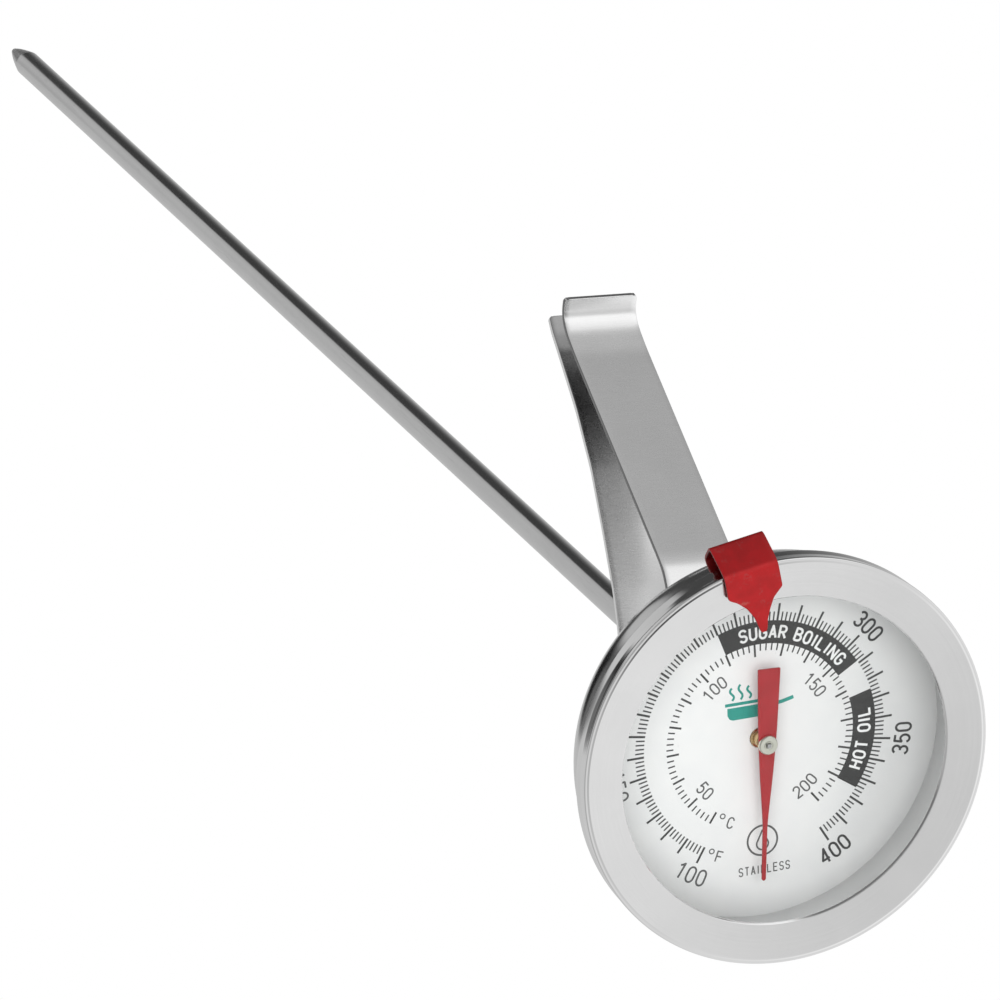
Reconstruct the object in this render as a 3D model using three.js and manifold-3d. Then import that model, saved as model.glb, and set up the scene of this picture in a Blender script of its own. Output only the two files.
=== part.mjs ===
// Stem-mounted bimetal dial thermometer with a spring pan clip and a rim marker.
//
// Frame: +Z runs up the stem, from its point to the dial, which faces +Z. +Y is
// twelve o'clock on the dial. The origin is the point of the stem, because the
// depth to which the stem is dipped is counted from there. Millimetres.
// "Front" is towards +Z and "rear" towards -Z.

import * as THREE from "three";
import { mergeVertices } from "three/addons/utils/BufferGeometryUtils.js";
import Module from "manifold-3d";

const wasm = await Module();
wasm.setup();

// ---------- shared dimensions ----------

const STEM_LENGTH = 304.8; // 12 in, point to the back of the case
const STEM_R = 1.905; // 0.15 in stem
const STEM_BORE_R = 1.5;

const Z_BACK = STEM_LENGTH; // outside of the case's back
const Z_DIAL = 310.0; // face of the dial
const Z_LENS = Z_DIAL + 6.4; // underside of the lens
const Z_SKIRT = Z_DIAL + 5.6; // rear edge of the bezel's skirt

const CUP_T = 0.3;
const CUP_HOLE_R = 2.75; // for the ferrule's neck
const RECESS = 0.2; // shallow pressed recess round the ferrule
const DIAL_T = 0.6;

const SPINDLE_R = 0.4;
const FIT = 0.02; // gap between parts that fit closely
const SEAT_GAP = 0.03; // gap between parts that rest on each other
const RUN_GAP = 0.05; // gap round the spindle in its bushes

// segments of the turned pieces
const CASE_SEGMENTS = 48;
const STEM_SEGMENTS = 32;
const HUB_SEGMENTS = 24;
const BUSH_SEGMENTS = 20;
const SPINDLE_SEGMENTS = 16;

// ---------- solids ----------

const radians = (degrees) => (degrees * Math.PI) / 180;

function toSolid(geometry) {
  const bare = geometry.clone();
  bare.deleteAttribute("normal");
  bare.deleteAttribute("uv");
  const merged = mergeVertices(bare, 1e-4);
  return new wasm.Manifold(
    new wasm.Mesh({
      numProp: 3,
      vertProperties: new Float32Array(merged.attributes.position.array),
      triVerts: new Uint32Array(merged.index.array),
    }),
  );
}

function fromSolid(solid) {
  const { numVert, numProp, vertProperties, triVerts } = solid.getMesh();
  const positions = new Float32Array(numVert * 3);
  for (let i = 0; i < numVert; i++)
    positions.set(vertProperties.subarray(i * numProp, i * numProp + 3), i * 3);
  const geometry = new THREE.BufferGeometry();
  geometry.setAttribute("position", new THREE.BufferAttribute(positions, 3));
  geometry.setIndex(new THREE.BufferAttribute(new Uint32Array(triVerts), 1));
  geometry.computeVertexNormals();
  return geometry;
}

// A closed profile of [r, z] pairs turned about +Z. The points run anticlockwise
// in the r-z half-plane, so that the faces point outwards. A profile that
// touches the axis starts and ends on it.
function turned(points, segments = CASE_SEGMENTS) {
  const onAxis = points[0][0] === 0;
  const closed = onAxis ? points : [...points, points[0]];
  const geometry = new THREE.LatheGeometry(
    closed.map(([r, z]) => new THREE.Vector2(r, z)),
    segments,
  );
  geometry.rotateX(Math.PI / 2);
  return geometry;
}

// A ring of rectangular section, or a rod where the inner radius is 0.
function ring(innerR, outerR, z0, z1, segments) {
  return turned([[innerR, z0], [outerR, z0], [outerR, z1], [innerR, z1]], segments);
}

// Points of a circular arc in the r-z plane, angles in degrees.
function arc(centerR, centerZ, radius, from, to, steps) {
  return Array.from({ length: steps + 1 }, (_, i) => {
    const angle = radians(from + ((to - from) * i) / steps);
    return [centerR + radius * Math.cos(angle), centerZ + radius * Math.sin(angle)];
  });
}

function circle(radius, count) {
  return Array.from({ length: count }, (_, i) => {
    const angle = (2 * Math.PI * i) / count;
    return [radius * Math.cos(angle), radius * Math.sin(angle)];
  });
}

const square = (half) => [[-half, -half], [half, -half], [half, half], [-half, half]];

// A strip of sheet: a centre line in a plane, thickened to both sides.
function thicken(line, thickness) {
  const left = [];
  const right = [];
  line.forEach(([x, y], i) => {
    const previous = line[Math.max(0, i - 1)];
    const next = line[Math.min(line.length - 1, i + 1)];
    const before = new THREE.Vector2(x - previous[0], y - previous[1]);
    const after = new THREE.Vector2(next[0] - x, next[1] - y);
    // an end point has only one neighbour
    if (before.lengthSq() === 0) before.copy(after);
    if (after.lengthSq() === 0) after.copy(before);
    before.normalize();
    after.normalize();
    const miter = new THREE.Vector2(-(before.y + after.y), before.x + after.x).normalize();
    const cosine = miter.dot(new THREE.Vector2(-before.y, before.x));
    const offset = thickness / 2 / Math.max(0.5, cosine); // the limit tames sharp bends
    left.push([x + miter.x * offset, y + miter.y * offset]);
    right.push([x - miter.x * offset, y - miter.y * offset]);
  });
  return [...left, ...right.reverse()];
}

// An outline in the XY plane, extruded along +Z between two heights.
function prism(outline, z0, z1) {
  const shape = new THREE.Shape(outline.map(([x, y]) => new THREE.Vector2(x, y)));
  const geometry = new THREE.ExtrudeGeometry(shape, {
    depth: z1 - z0,
    bevelEnabled: false,
    steps: 1,
  });
  geometry.translate(0, 0, z0);
  return geometry;
}

// Sheet of one width bent along a [radial, z] centre line, radial along +Y and
// its width centred along X, then trimmed to a plan in the XY plane.
function bentSheet({ line, thickness, width, plan, cutZ }) {
  const strip = prism(thicken(line, thickness), -width / 2, width / 2);
  // (x, y, z) -> (z, x, y): radial to +Y, height to +Z, width to +X
  strip.applyMatrix4(
    new THREE.Matrix4().set(0, 0, 1, 0, 1, 0, 0, 0, 0, 1, 0, 0, 0, 0, 0, 1),
  );
  return toSolid(strip).intersect(toSolid(prism(plan, ...cutZ)));
}

// [r, height above the dial's face] -> [r, z]
const fromDial = (points) => points.map(([r, height]) => [r, Z_DIAL + height]);

// ---------- case ----------

const CUP_R = 26.3; // outside of the cup's wall
const CUP_CORNER_R = 7.5;
const CUP_FLANGE_R = 27.1;
const CUP_FLANGE_T = 0.4;
const Z_FLANGE = Z_SKIRT + 0.35; // rear of the flange
const RECESS_R = 5.6;

const LENS_R = 27.0;
const LENS_T = 1.3;
const LENS_EDGE = 0.2; // chamfer
const Z_LENS_FRONT = Z_LENS + LENS_T;

const BEZEL_R = 28.0; // front corner of the bezel
const BEZEL_SKIRT_R = 27.75; // its rear edge
const BEZEL_BORE_R = 22.43; // its opening
const BEZEL_T = 0.5;
const BEZEL_ROUND_R = 0.7;
const CRIMP_R = 26.52; // inner edge of the crimp
const CRIMP_T = 0.3;
const Z_RIM = Z_DIAL + 9.3; // front of the bezel's outer rim
const Z_LIP = Z_DIAL + 8.8; // front of the bezel's inner edge

const GASKET_INNER_R = BEZEL_BORE_R + 0.97;
const GASKET_OUTER_R = LENS_R - 0.1;
const GASKET_TOP = 0.5; // above the lens

const DIAL_R = 25.25;
const DIAL_HOLE_R = 1.4;
const DIAL_RING_R = 24.9; // inside of the ring, so the part of the dial that shows
const DIAL_RING_T = 0.6;

// Drawn cup: flat back with a hole for the ferrule, rounded corner, straight
// wall, and a flange at the mouth that the bezel is crimped over.
function makeCup() {
  const cornerR = CUP_R - CUP_CORNER_R;
  const cornerZ = Z_BACK + CUP_CORNER_R;
  return turned([
    [CUP_HOLE_R, Z_BACK + RECESS],
    [RECESS_R - 0.2, Z_BACK + RECESS],
    [RECESS_R, Z_BACK],
    ...arc(cornerR, cornerZ, CUP_CORNER_R, -90, 0, 6),
    [CUP_R, Z_FLANGE - 0.15],
    [CUP_R + 0.12, Z_FLANGE],
    [CUP_FLANGE_R, Z_FLANGE],
    [CUP_FLANGE_R, Z_FLANGE + CUP_FLANGE_T],
    [CUP_R + 0.1, Z_FLANGE + CUP_FLANGE_T],
    [CUP_R - CUP_T, Z_FLANGE - 0.3],
    ...arc(cornerR, cornerZ, CUP_CORNER_R - CUP_T, 0, -90, 6),
    [RECESS_R + 0.1, Z_BACK + CUP_T],
    [RECESS_R - 0.1, Z_BACK + RECESS + CUP_T],
    [CUP_HOLE_R, Z_BACK + RECESS + CUP_T],
  ]);
}

// Bezel: lip over the window, nearly flat front, small round at the rim, skirt,
// and the crimp turned in behind the flange.
function makeBezel() {
  return turned([
    [CRIMP_R, Z_SKIRT],
    [BEZEL_SKIRT_R - 0.25, Z_SKIRT],
    [BEZEL_SKIRT_R, Z_SKIRT + 0.25],
    ...arc(BEZEL_R - BEZEL_ROUND_R, Z_RIM - BEZEL_ROUND_R, BEZEL_ROUND_R, 0, 84, 4),
    [BEZEL_BORE_R + 0.5, Z_LIP + 0.02],
    [BEZEL_BORE_R, Z_LIP - 0.35],
    [BEZEL_BORE_R + 0.25, Z_LIP - 0.55],
    [BEZEL_R - 0.75, Z_RIM - 0.72],
    [BEZEL_R - BEZEL_T, Z_RIM - 1.1],
    [BEZEL_SKIRT_R - BEZEL_T, Z_SKIRT + CRIMP_T],
    [CRIMP_R, Z_SKIRT + CRIMP_T],
  ]);
}

// Flat window with eased edges, at the flange's front.
function makeLens() {
  return turned([
    [0, Z_LENS],
    [LENS_R - LENS_EDGE, Z_LENS],
    [LENS_R, Z_LENS + LENS_EDGE],
    [LENS_R, Z_LENS_FRONT - LENS_EDGE],
    [LENS_R - LENS_EDGE, Z_LENS_FRONT],
    [0, Z_LENS_FRONT],
  ]);
}

// Soft ring between the window and the bezel's lip.
const makeGasket = () =>
  ring(GASKET_INNER_R, GASKET_OUTER_R, Z_LENS_FRONT + FIT, Z_LENS_FRONT + GASKET_TOP);

// Plain ring that stands on the dial's edge and carries the window.
const makeDialRing = () =>
  ring(DIAL_RING_R, DIAL_RING_R + DIAL_RING_T, Z_DIAL + SEAT_GAP, Z_LENS - SEAT_GAP);

// Dial plate with the hole for the brass bush.
const makeDialPlate = () => ring(DIAL_HOLE_R, DIAL_R, Z_DIAL - DIAL_T, Z_DIAL);

// ---------- stem ----------

const TIP_LENGTH = 6.7; // conical point below the tube
const TIP_FLAT_R = 0.4;
const SPIGOT_R = STEM_BORE_R - 0.03;
const SPIGOT_TOP = TIP_LENGTH + 1.0;

const COLLAR_R = 3.4; // ferrule below its shoulder
const SHOULDER_R = 4.6;
const NECK_R = 2.7;
const WASHER_R = 5.0;

// Ferrule: shoulder under the case's back, neck through its hole.
function makeCollar() {
  const bore = STEM_R + FIT;
  const seat = Z_BACK + RECESS - SEAT_GAP;
  return turned(
    [
      [bore, Z_BACK - 4.0],
      [COLLAR_R - 0.3, Z_BACK - 4.0],
      [COLLAR_R, Z_BACK - 3.7],
      [COLLAR_R, Z_BACK - 0.9],
      [SHOULDER_R, Z_BACK - 0.8],
      [SHOULDER_R, seat],
      [NECK_R, seat],
      [NECK_R, Z_BACK + 1.6],
      [bore, Z_BACK + 1.6],
    ],
    STEM_SEGMENTS,
  );
}

// Washer on the inside of the cup's back.
function makeWasher() {
  const floor = Z_BACK + RECESS + CUP_T;
  return ring(CUP_HOLE_R, WASHER_R, floor + SEAT_GAP, floor + 0.8, STEM_SEGMENTS);
}

const makeTube = () => ring(STEM_BORE_R, STEM_R, TIP_LENGTH, Z_BACK + 1.8, STEM_SEGMENTS);

// Conical point with a spigot inside the tube.
function makeTip() {
  return turned(
    [
      [0, 0],
      [TIP_FLAT_R, 0],
      [0.53, 0.18],
      [0.77, 1.0],
      [1.03, 2.0],
      [1.45, 4.0],
      [1.8, 6.0],
      [STEM_R, TIP_LENGTH - FIT],
      [SPIGOT_R, TIP_LENGTH - FIT],
      [SPIGOT_R, SPIGOT_TOP],
      [0, SPIGOT_TOP],
    ],
    STEM_SEGMENTS,
  );
}

// ---------- movement ----------

const BUSH_R = STEM_BORE_R - FIT; // parts fitted in the tube
const GUIDE_HALF_LENGTH = 1.5;
const MID_GUIDE_Z = 180;
const LOWER_GUIDE_Z = 64.5;

const COIL_R = 1.15; // middle of the bimetal strip
const COIL_START = 12.0;
const COIL_END = 58.0;
const COIL_TURNS = 16;
const COIL_STEPS_PER_TURN = 12;
const COIL_STRIP_T = 0.22;
const COIL_STRIP_W = 1.5;
const ANCHOR_PIN_R = 0.9;
const COUPLING_R = 0.92;

const SHAFT_TOP = Z_DIAL + 1.7;
const SQUARE_HALF = 0.3; // half the width of the spindle's square
const SQUARE_TOP = Z_DIAL + 3.4;
const Z_SQUARE = Z_DIAL + 1.5; // where the square starts

// Brass bush that stands up through the dial and steadies the spindle.
function makeUpperBearing() {
  const bore = SPINDLE_R + RUN_GAP;
  return turned(
    fromDial([
      [bore, -1.4],
      [2.4, -1.4],
      [2.4, -DIAL_T - FIT],
      [1.35, -DIAL_T - FIT],
      [1.35, 0.02],
      [1.05, 0.1],
      [1.05, 1.35],
      [0.85, 1.6],
      [bore, 1.6],
    ]),
    HUB_SEGMENTS,
  );
}

// Bush in the tube, centred on the given height.
function makeGuide(z) {
  const rear = z - GUIDE_HALF_LENGTH;
  const front = z + GUIDE_HALF_LENGTH;
  return ring(SPINDLE_R + RUN_GAP, BUSH_R, rear, front, BUSH_SEGMENTS);
}

// Helical bimetal strip, square-cut at both ends.
function makeCoil() {
  const steps = COIL_TURNS * COIL_STEPS_PER_TURN;
  // [radial, z] signs of the strip's four corners
  const corners = [[-1, -1], [1, -1], [1, 1], [-1, 1]];
  const positions = [];
  const index = [];
  const quad = (a, b, c, d) => index.push(a, b, c, a, c, d);

  for (let i = 0; i <= steps; i++) {
    const angle = (2 * Math.PI * i) / COIL_STEPS_PER_TURN;
    const middle = COIL_START + ((COIL_END - COIL_START) * i) / steps;
    for (const [radialSign, zSign] of corners) {
      const radius = COIL_R + (radialSign * COIL_STRIP_T) / 2;
      const z = middle + (zSign * COIL_STRIP_W) / 2;
      positions.push(radius * Math.cos(angle), radius * Math.sin(angle), z);
    }
  }

  for (let i = 0; i < steps; i++)
    for (let k = 0; k < 4; k++) {
      const near = 4 * i + k;
      const far = 4 * i + ((k + 1) % 4);
      quad(near, near + 4, far + 4, far);
    }
  const last = 4 * steps;
  quad(0, 1, 2, 3);
  quad(last + 3, last + 2, last + 1, last);

  const geometry = new THREE.BufferGeometry();
  geometry.setAttribute("position", new THREE.Float32BufferAttribute(positions, 3));
  geometry.setIndex(index);
  return geometry;
}

// Anchor below the coil, pressed in the tube.
function makeAnchor() {
  return turned(
    [
      [0, COIL_START - 4.2],
      [BUSH_R, COIL_START - 4.2],
      [BUSH_R, COIL_START - 2.4],
      [ANCHOR_PIN_R, COIL_START - 2.2],
      [ANCHOR_PIN_R, COIL_START + 0.4],
      [0, COIL_START + 0.4],
    ],
    BUSH_SEGMENTS,
  );
}

// Sleeve on the spindle's foot that the coil's upper end is welded to.
const makeCoupling = () =>
  ring(SPINDLE_R + 0.01, COUPLING_R, COIL_END - 0.4, COIL_END + 2.6, BUSH_SEGMENTS);

// Shaft from the coil to the pointer, squared at its upper end.
function makeSpindle() {
  const shaft = toSolid(ring(0, SPINDLE_R, COIL_END - 1.2, SHAFT_TOP, SPINDLE_SEGMENTS));
  const end = toSolid(prism(square(SQUARE_HALF), Z_SQUARE, SQUARE_TOP));
  return fromSolid(shaft.add(end));
}

// ---------- pointer ----------

const POINTER_ANGLE = 267.15; // degrees anticlockwise from +X, about 73 °F
const POINTER_TIP = 19.05;
const POINTER_TAIL = 10.5;
const POINTER_T = 0.3;
const POINTER_HOLE_R = 0.62;
const Z_POINTER = Z_DIAL + 2.5; // middle of the pointer's sheet
const POINTER_REAR = Z_POINTER - POINTER_T / 2;
const POINTER_FRONT = Z_POINTER + POINTER_T / 2;

// [distance along the pointer, half width], tail to tip
const POINTER_HALF = [
  [-POINTER_TAIL, 1.49], [-POINTER_TAIL + 0.08, 1.56], [-2.5, 1.32],
  [2.0, 1.06], [4.0, 0.92], [10.0, 0.41], [11.5, 0.31],
  [POINTER_TIP - 0.2, 0.28], [POINTER_TIP, 0.14],
];

// One long sheet, with a wide square tail and a needle whose flanks run nearly
// parallel over its outer part. It is drawn along +X and turned to its reading.
function makePointer() {
  const outline = [
    ...POINTER_HALF.map(([x, y]) => [x, -y]),
    ...POINTER_HALF.toReversed(),
  ];
  const sheet = toSolid(prism(outline, POINTER_REAR, POINTER_FRONT));
  const hole = toSolid(prism(circle(POINTER_HOLE_R, 16), Z_POINTER - 2, Z_POINTER + 2));
  return fromSolid(sheet.subtract(hole));
}

// Rivet that holds the pointer on the spindle's square.
function makePointerHub() {
  const footR = 0.95;
  const neckR = 0.58;
  const headR = 1.3;
  const body = turned(
    [
      [0, Z_DIAL + 1.75],
      [footR, Z_DIAL + 1.75],
      [footR, POINTER_REAR - FIT],
      [neckR, POINTER_REAR - FIT],
      [neckR, POINTER_FRONT + FIT],
      [headR, POINTER_FRONT + FIT],
      [headR, Z_POINTER + 0.52],
      [headR - 0.12, Z_POINTER + 0.64],
      [0, Z_POINTER + 0.64],
    ],
    HUB_SEGMENTS,
  );
  const hole = prism(square(SQUARE_HALF + 0.04), Z_SQUARE, Z_DIAL + 5);
  return fromSolid(toSolid(body).subtract(toSolid(hole)));
}

// ---------- marker ----------

const MARKER_ANGLE = 99.2; // degrees anticlockwise from +X, place on the rim
const MARKER_W = 7.5;
const MARKER_T = 0.45;
const MARKER_CUT_X = MARKER_W / 2 + 1; // clear of the strip's sides

// centre line: [radial, height above the dial's face], tongue to crimp
const MARKER_LINE = [
  [19.0, 9.9 - MARKER_T / 2], [26.9, 9.9 - MARKER_T / 2],
  [27.45, 9.84 - MARKER_T / 2], [27.95, 9.4], [28.6, 8.66], [30.36, 6.36],
  [30.6, 5.95], [30.6, 5.6], [30.42, 5.36], [29.46, 4.26], [28.7, 3.42],
  [28.3, 3.2], [27.9, 3.28], [27.28, 3.82], [26.78, 4.5], [26.58, 5.35],
];

// [x, radial] plan of the tongue: shoulders, concave flanks and a narrow end;
// the rest of the strip keeps its full width
const MARKER_PLAN = [
  [0.3, 18.95], [0.64, 19.16], [0.93, 20.54], [1.55, 21.97],
  [2.34, 23.36], [3.7, 24.36], [MARKER_CUT_X, 24.6], [MARKER_CUT_X, 40],
  [-MARKER_CUT_X, 40], [-MARKER_CUT_X, 24.95], [-3.72, 24.69], [-2.71, 24.1],
  [-1.52, 22.83], [-0.73, 21.28], [-0.34, 19.49], [-0.15, 18.95],
];

// Red sheet clip: tongue over the window, slanted plate over the rim, rounded
// loop that returns behind the crimp.
function makeMarker() {
  return fromSolid(
    bentSheet({
      line: fromDial(MARKER_LINE),
      thickness: MARKER_T,
      width: MARKER_W,
      plan: MARKER_PLAN,
      cutZ: [Z_DIAL - 5, Z_DIAL + 15],
    }),
  );
}

// ---------- pan clip ----------

const CLIP_ANGLE = -5.0; // the clip's turn about the stem, degrees from +Y
const CLIP_W = 10.4;
const CLIP_T = 0.7;
const CLIP_CORNER = 0.9; // sets the clipped corners at a leaf's free end
const CLIP_HOLE_R = 2.15;
const CLIP_HOLE_POINTS = 24;
const SLOT_OUTER_Y = 2.0; // centres of the slot's two rounded ends
const SLOT_INNER_Y = -0.2;

// Centre lines: [radial, height above the dial's face]. The leaves meet at
// radial -8.9, across the stem from their free ends.
const FRONT_LINE = [
  [39.4, -63.75], [38.4, -63.95], [37.3, -63.8], [36.2, -63.1],
  [35.2, -61.9], [33.4, -58.9], [16.2, -25.4], [15.2, -23.8],
  [13.6, -22.4], [0, -13.2], [-3.6, -11.0], [-5.6, -10.5],
  [-7.3, -11.3], [-8.4, -13.3], [-8.9, -16.5], [-8.9, -22.35],
];
const REAR_LINE = [
  [-8.9, -22.65], [-8.9, -27.5], [-8.4, -31.5], [-6.9, -34.6],
  [-4.4, -36.4], [-1.2, -37.1], [1.56, -37.8], [6.55, -40.5],
  [13.3, -45.4], [20.0, -50.6], [26.25, -57.2], [32.1, -65.0],
  [33.9, -67.5], [35.1, -68.6],
];

// A leaf with clipped corners at its free end and a hole for the stem. The hole
// is cut between two heights, [rear, front], from the dial's face.
function makeLeaf(line, holeOutline, holeHeights) {
  const side = CLIP_W / 2;
  const end = Math.max(...line.map(([radial]) => radial)) + 1;
  const cornerY = end - 1.2 - CLIP_CORNER;
  const leaf = bentSheet({
    line: fromDial(line),
    thickness: CLIP_T,
    width: CLIP_W,
    plan: [
      [-side - 1, -20],
      [side + 1, -20],
      [side + 1, cornerY],
      [side - CLIP_CORNER, end + 0.5],
      [-side + CLIP_CORNER, end + 0.5],
      [-side - 1, cornerY],
    ],
    cutZ: [Z_DIAL - 110, Z_DIAL + 10],
  });
  const [rear, front] = holeHeights;
  const hole = toSolid(prism(holeOutline, Z_DIAL + rear, Z_DIAL + front));
  return fromSolid(leaf.subtract(hole));
}

// The front leaf has a round hole. The rear leaf's hole is a slot lengthened
// towards the free end, which lets the leaf swing on its bight.
const roundHole = circle(CLIP_HOLE_R, CLIP_HOLE_POINTS);
const slot = roundHole.map(([x, y], i) => [
  x,
  y + (i <= CLIP_HOLE_POINTS / 2 ? SLOT_OUTER_Y : SLOT_INNER_Y),
]);

// ---------- materials ----------

const metal = ({ color, roughness }) =>
  new THREE.MeshStandardMaterial({ color, roughness, metalness: 1 });
const paint = ({ color, roughness }) =>
  new THREE.MeshStandardMaterial({ color, roughness, metalness: 0 });

const caseSteel = metal({ color: 0xb9bbbc, roughness: 0.32 });
const bezelSteel = metal({ color: 0xc9cbcc, roughness: 0.28 });
const dialRingSteel = metal({ color: 0xc4c6c6, roughness: 0.4 });
const washerSteel = metal({ color: 0xa9abac, roughness: 0.4 });
const stemSteel = metal({ color: 0xa4a6a6, roughness: 0.3 });
const anchorSteel = metal({ color: 0x9c9d9e, roughness: 0.4 });
const spindleSteel = metal({ color: 0xaaaaaa, roughness: 0.3 });
const clipSteel = metal({ color: 0xb4b6b6, roughness: 0.35 });
const hubMetal = metal({ color: 0xc9cdbf, roughness: 0.4 });
const bimetal = metal({ color: 0x8f8578, roughness: 0.45 });
const bearingBrass = metal({ color: 0xb8863b, roughness: 0.35 });
const brass = metal({ color: 0xb8863b, roughness: 0.4 });
const gasketBlack = paint({ color: 0x33363a, roughness: 0.8 });
const dialWhite = paint({ color: 0xf4f4f2, roughness: 0.5 });
const pointerRed = paint({ color: 0xb01c24, roughness: 0.45 });
const markerRed = paint({ color: 0xb0121a, roughness: 0.4 });
const clearWindow = new THREE.MeshStandardMaterial({
  color: 0xf4f8f8,
  roughness: 0.04,
  metalness: 0,
  transparent: true,
  opacity: 0.15,
});

// ---------- assembly ----------

const root = new THREE.Group();

// turn: degrees about +Z
function place(name, geometry, material, turn = 0, parent = root) {
  const mesh = new THREE.Mesh(geometry, material);
  mesh.name = name;
  mesh.rotation.z = radians(turn);
  parent.add(mesh);
}

place("case_cup", makeCup(), caseSteel);
place("bezel_ring", makeBezel(), bezelSteel);
place("lens", makeLens(), clearWindow);
place("lens_gasket", makeGasket(), gasketBlack);
place("dial_ring", makeDialRing(), dialRingSteel);
place("dial_plate", makeDialPlate(), dialWhite);
place("stem_collar", makeCollar(), caseSteel);
place("stem_washer", makeWasher(), washerSteel);
place("stem_tube", makeTube(), stemSteel);
place("stem_tip", makeTip(), stemSteel);
place("upper_bearing", makeUpperBearing(), bearingBrass);
place("mid_guide_bush", makeGuide(MID_GUIDE_Z), brass);
place("lower_guide_bush", makeGuide(LOWER_GUIDE_Z), brass);
place("bimetal_coil", makeCoil(), bimetal);
place("coil_anchor", makeAnchor(), anchorSteel);
place("coil_coupling", makeCoupling(), brass);
place("spindle", makeSpindle(), spindleSteel, POINTER_ANGLE);
place("pointer", makePointer(), pointerRed, POINTER_ANGLE);
place("pointer_hub", makePointerHub(), hubMetal, POINTER_ANGLE);
place("marker_clip", makeMarker(), markerRed, MARKER_ANGLE - 90); // drawn at +Y

const clip = new THREE.Group();
clip.rotation.z = radians(CLIP_ANGLE);
root.add(clip);
place("clip_front_leaf", makeLeaf(FRONT_LINE, roundHole, [-20, -4]), clipSteel, 0, clip);
place("clip_rear_leaf", makeLeaf(REAR_LINE, slot, [-50, -32]), clipSteel, 0, clip);

export default root;
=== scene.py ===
"""Dial thermometer on a long stem, with a red rim marker and a sprung pan clip.

The stem stands on the z axis with its point at z = 0. The dial lies flat at
Z_DIAL, facing +z, with twelve o'clock towards +y. Meshes are worked out in
millimetres and scaled to metres in build().
"""
import math
from collections import namedtuple

import bmesh
import bpy
import numpy as np
from mathutils import Matrix, Vector
from mathutils.geometry import delaunay_2d_cdt


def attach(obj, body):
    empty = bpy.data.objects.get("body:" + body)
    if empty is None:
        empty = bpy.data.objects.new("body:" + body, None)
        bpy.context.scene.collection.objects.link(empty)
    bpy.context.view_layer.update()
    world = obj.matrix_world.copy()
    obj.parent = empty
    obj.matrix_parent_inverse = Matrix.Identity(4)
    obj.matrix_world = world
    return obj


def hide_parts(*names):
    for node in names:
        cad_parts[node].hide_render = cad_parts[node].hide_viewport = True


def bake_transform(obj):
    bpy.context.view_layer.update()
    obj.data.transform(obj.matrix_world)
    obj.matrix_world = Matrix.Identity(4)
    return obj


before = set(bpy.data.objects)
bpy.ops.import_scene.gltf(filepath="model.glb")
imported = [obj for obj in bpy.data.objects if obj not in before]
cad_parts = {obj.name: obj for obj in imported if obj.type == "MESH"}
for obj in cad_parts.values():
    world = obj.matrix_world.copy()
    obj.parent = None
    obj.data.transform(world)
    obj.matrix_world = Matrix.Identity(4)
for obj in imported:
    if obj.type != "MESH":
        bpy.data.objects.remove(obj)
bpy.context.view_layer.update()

MM = 0.001

# ---------------------------------------------------------------- dimensions
# Millimetres and degrees. Heights other than Z_DIAL are above the dial's face,
# unless a piece is made with base=0. Angles run anticlockwise from +x.

Z_DIAL = 310.0
Z_BACK = -5.2         # back of the cup
Z_LENS = 6.4          # underside of the window
LENS_THICK = 1.3
Z_TIP = -Z_DIAL       # point of the stem
STEM_R = 1.93
POINTER_ANGLE = 267.15
MARKER_TURN = 99.2 - 90   # turn of the marker's outward direction from +y
CLIP_TURN = -5.0          # the same for the pan clip
SCALE_TOP_F = 250.0   # °F at twelve o'clock, one degree of arc for each °F

# ---------------------------------------------------------------- shader trees


class Signal:
    """A number from a shader node. Arithmetic on it makes Math nodes."""

    def __init__(self, tree, socket):
        self.tree, self.socket = tree, socket

    def __add__(self, other): return self.tree.math("ADD", self, other)
    def __radd__(self, other): return self.tree.math("ADD", other, self)
    def __sub__(self, other): return self.tree.math("SUBTRACT", self, other)
    def __rsub__(self, other): return self.tree.math("SUBTRACT", other, self)
    def __mul__(self, other): return self.tree.math("MULTIPLY", self, other)


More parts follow.
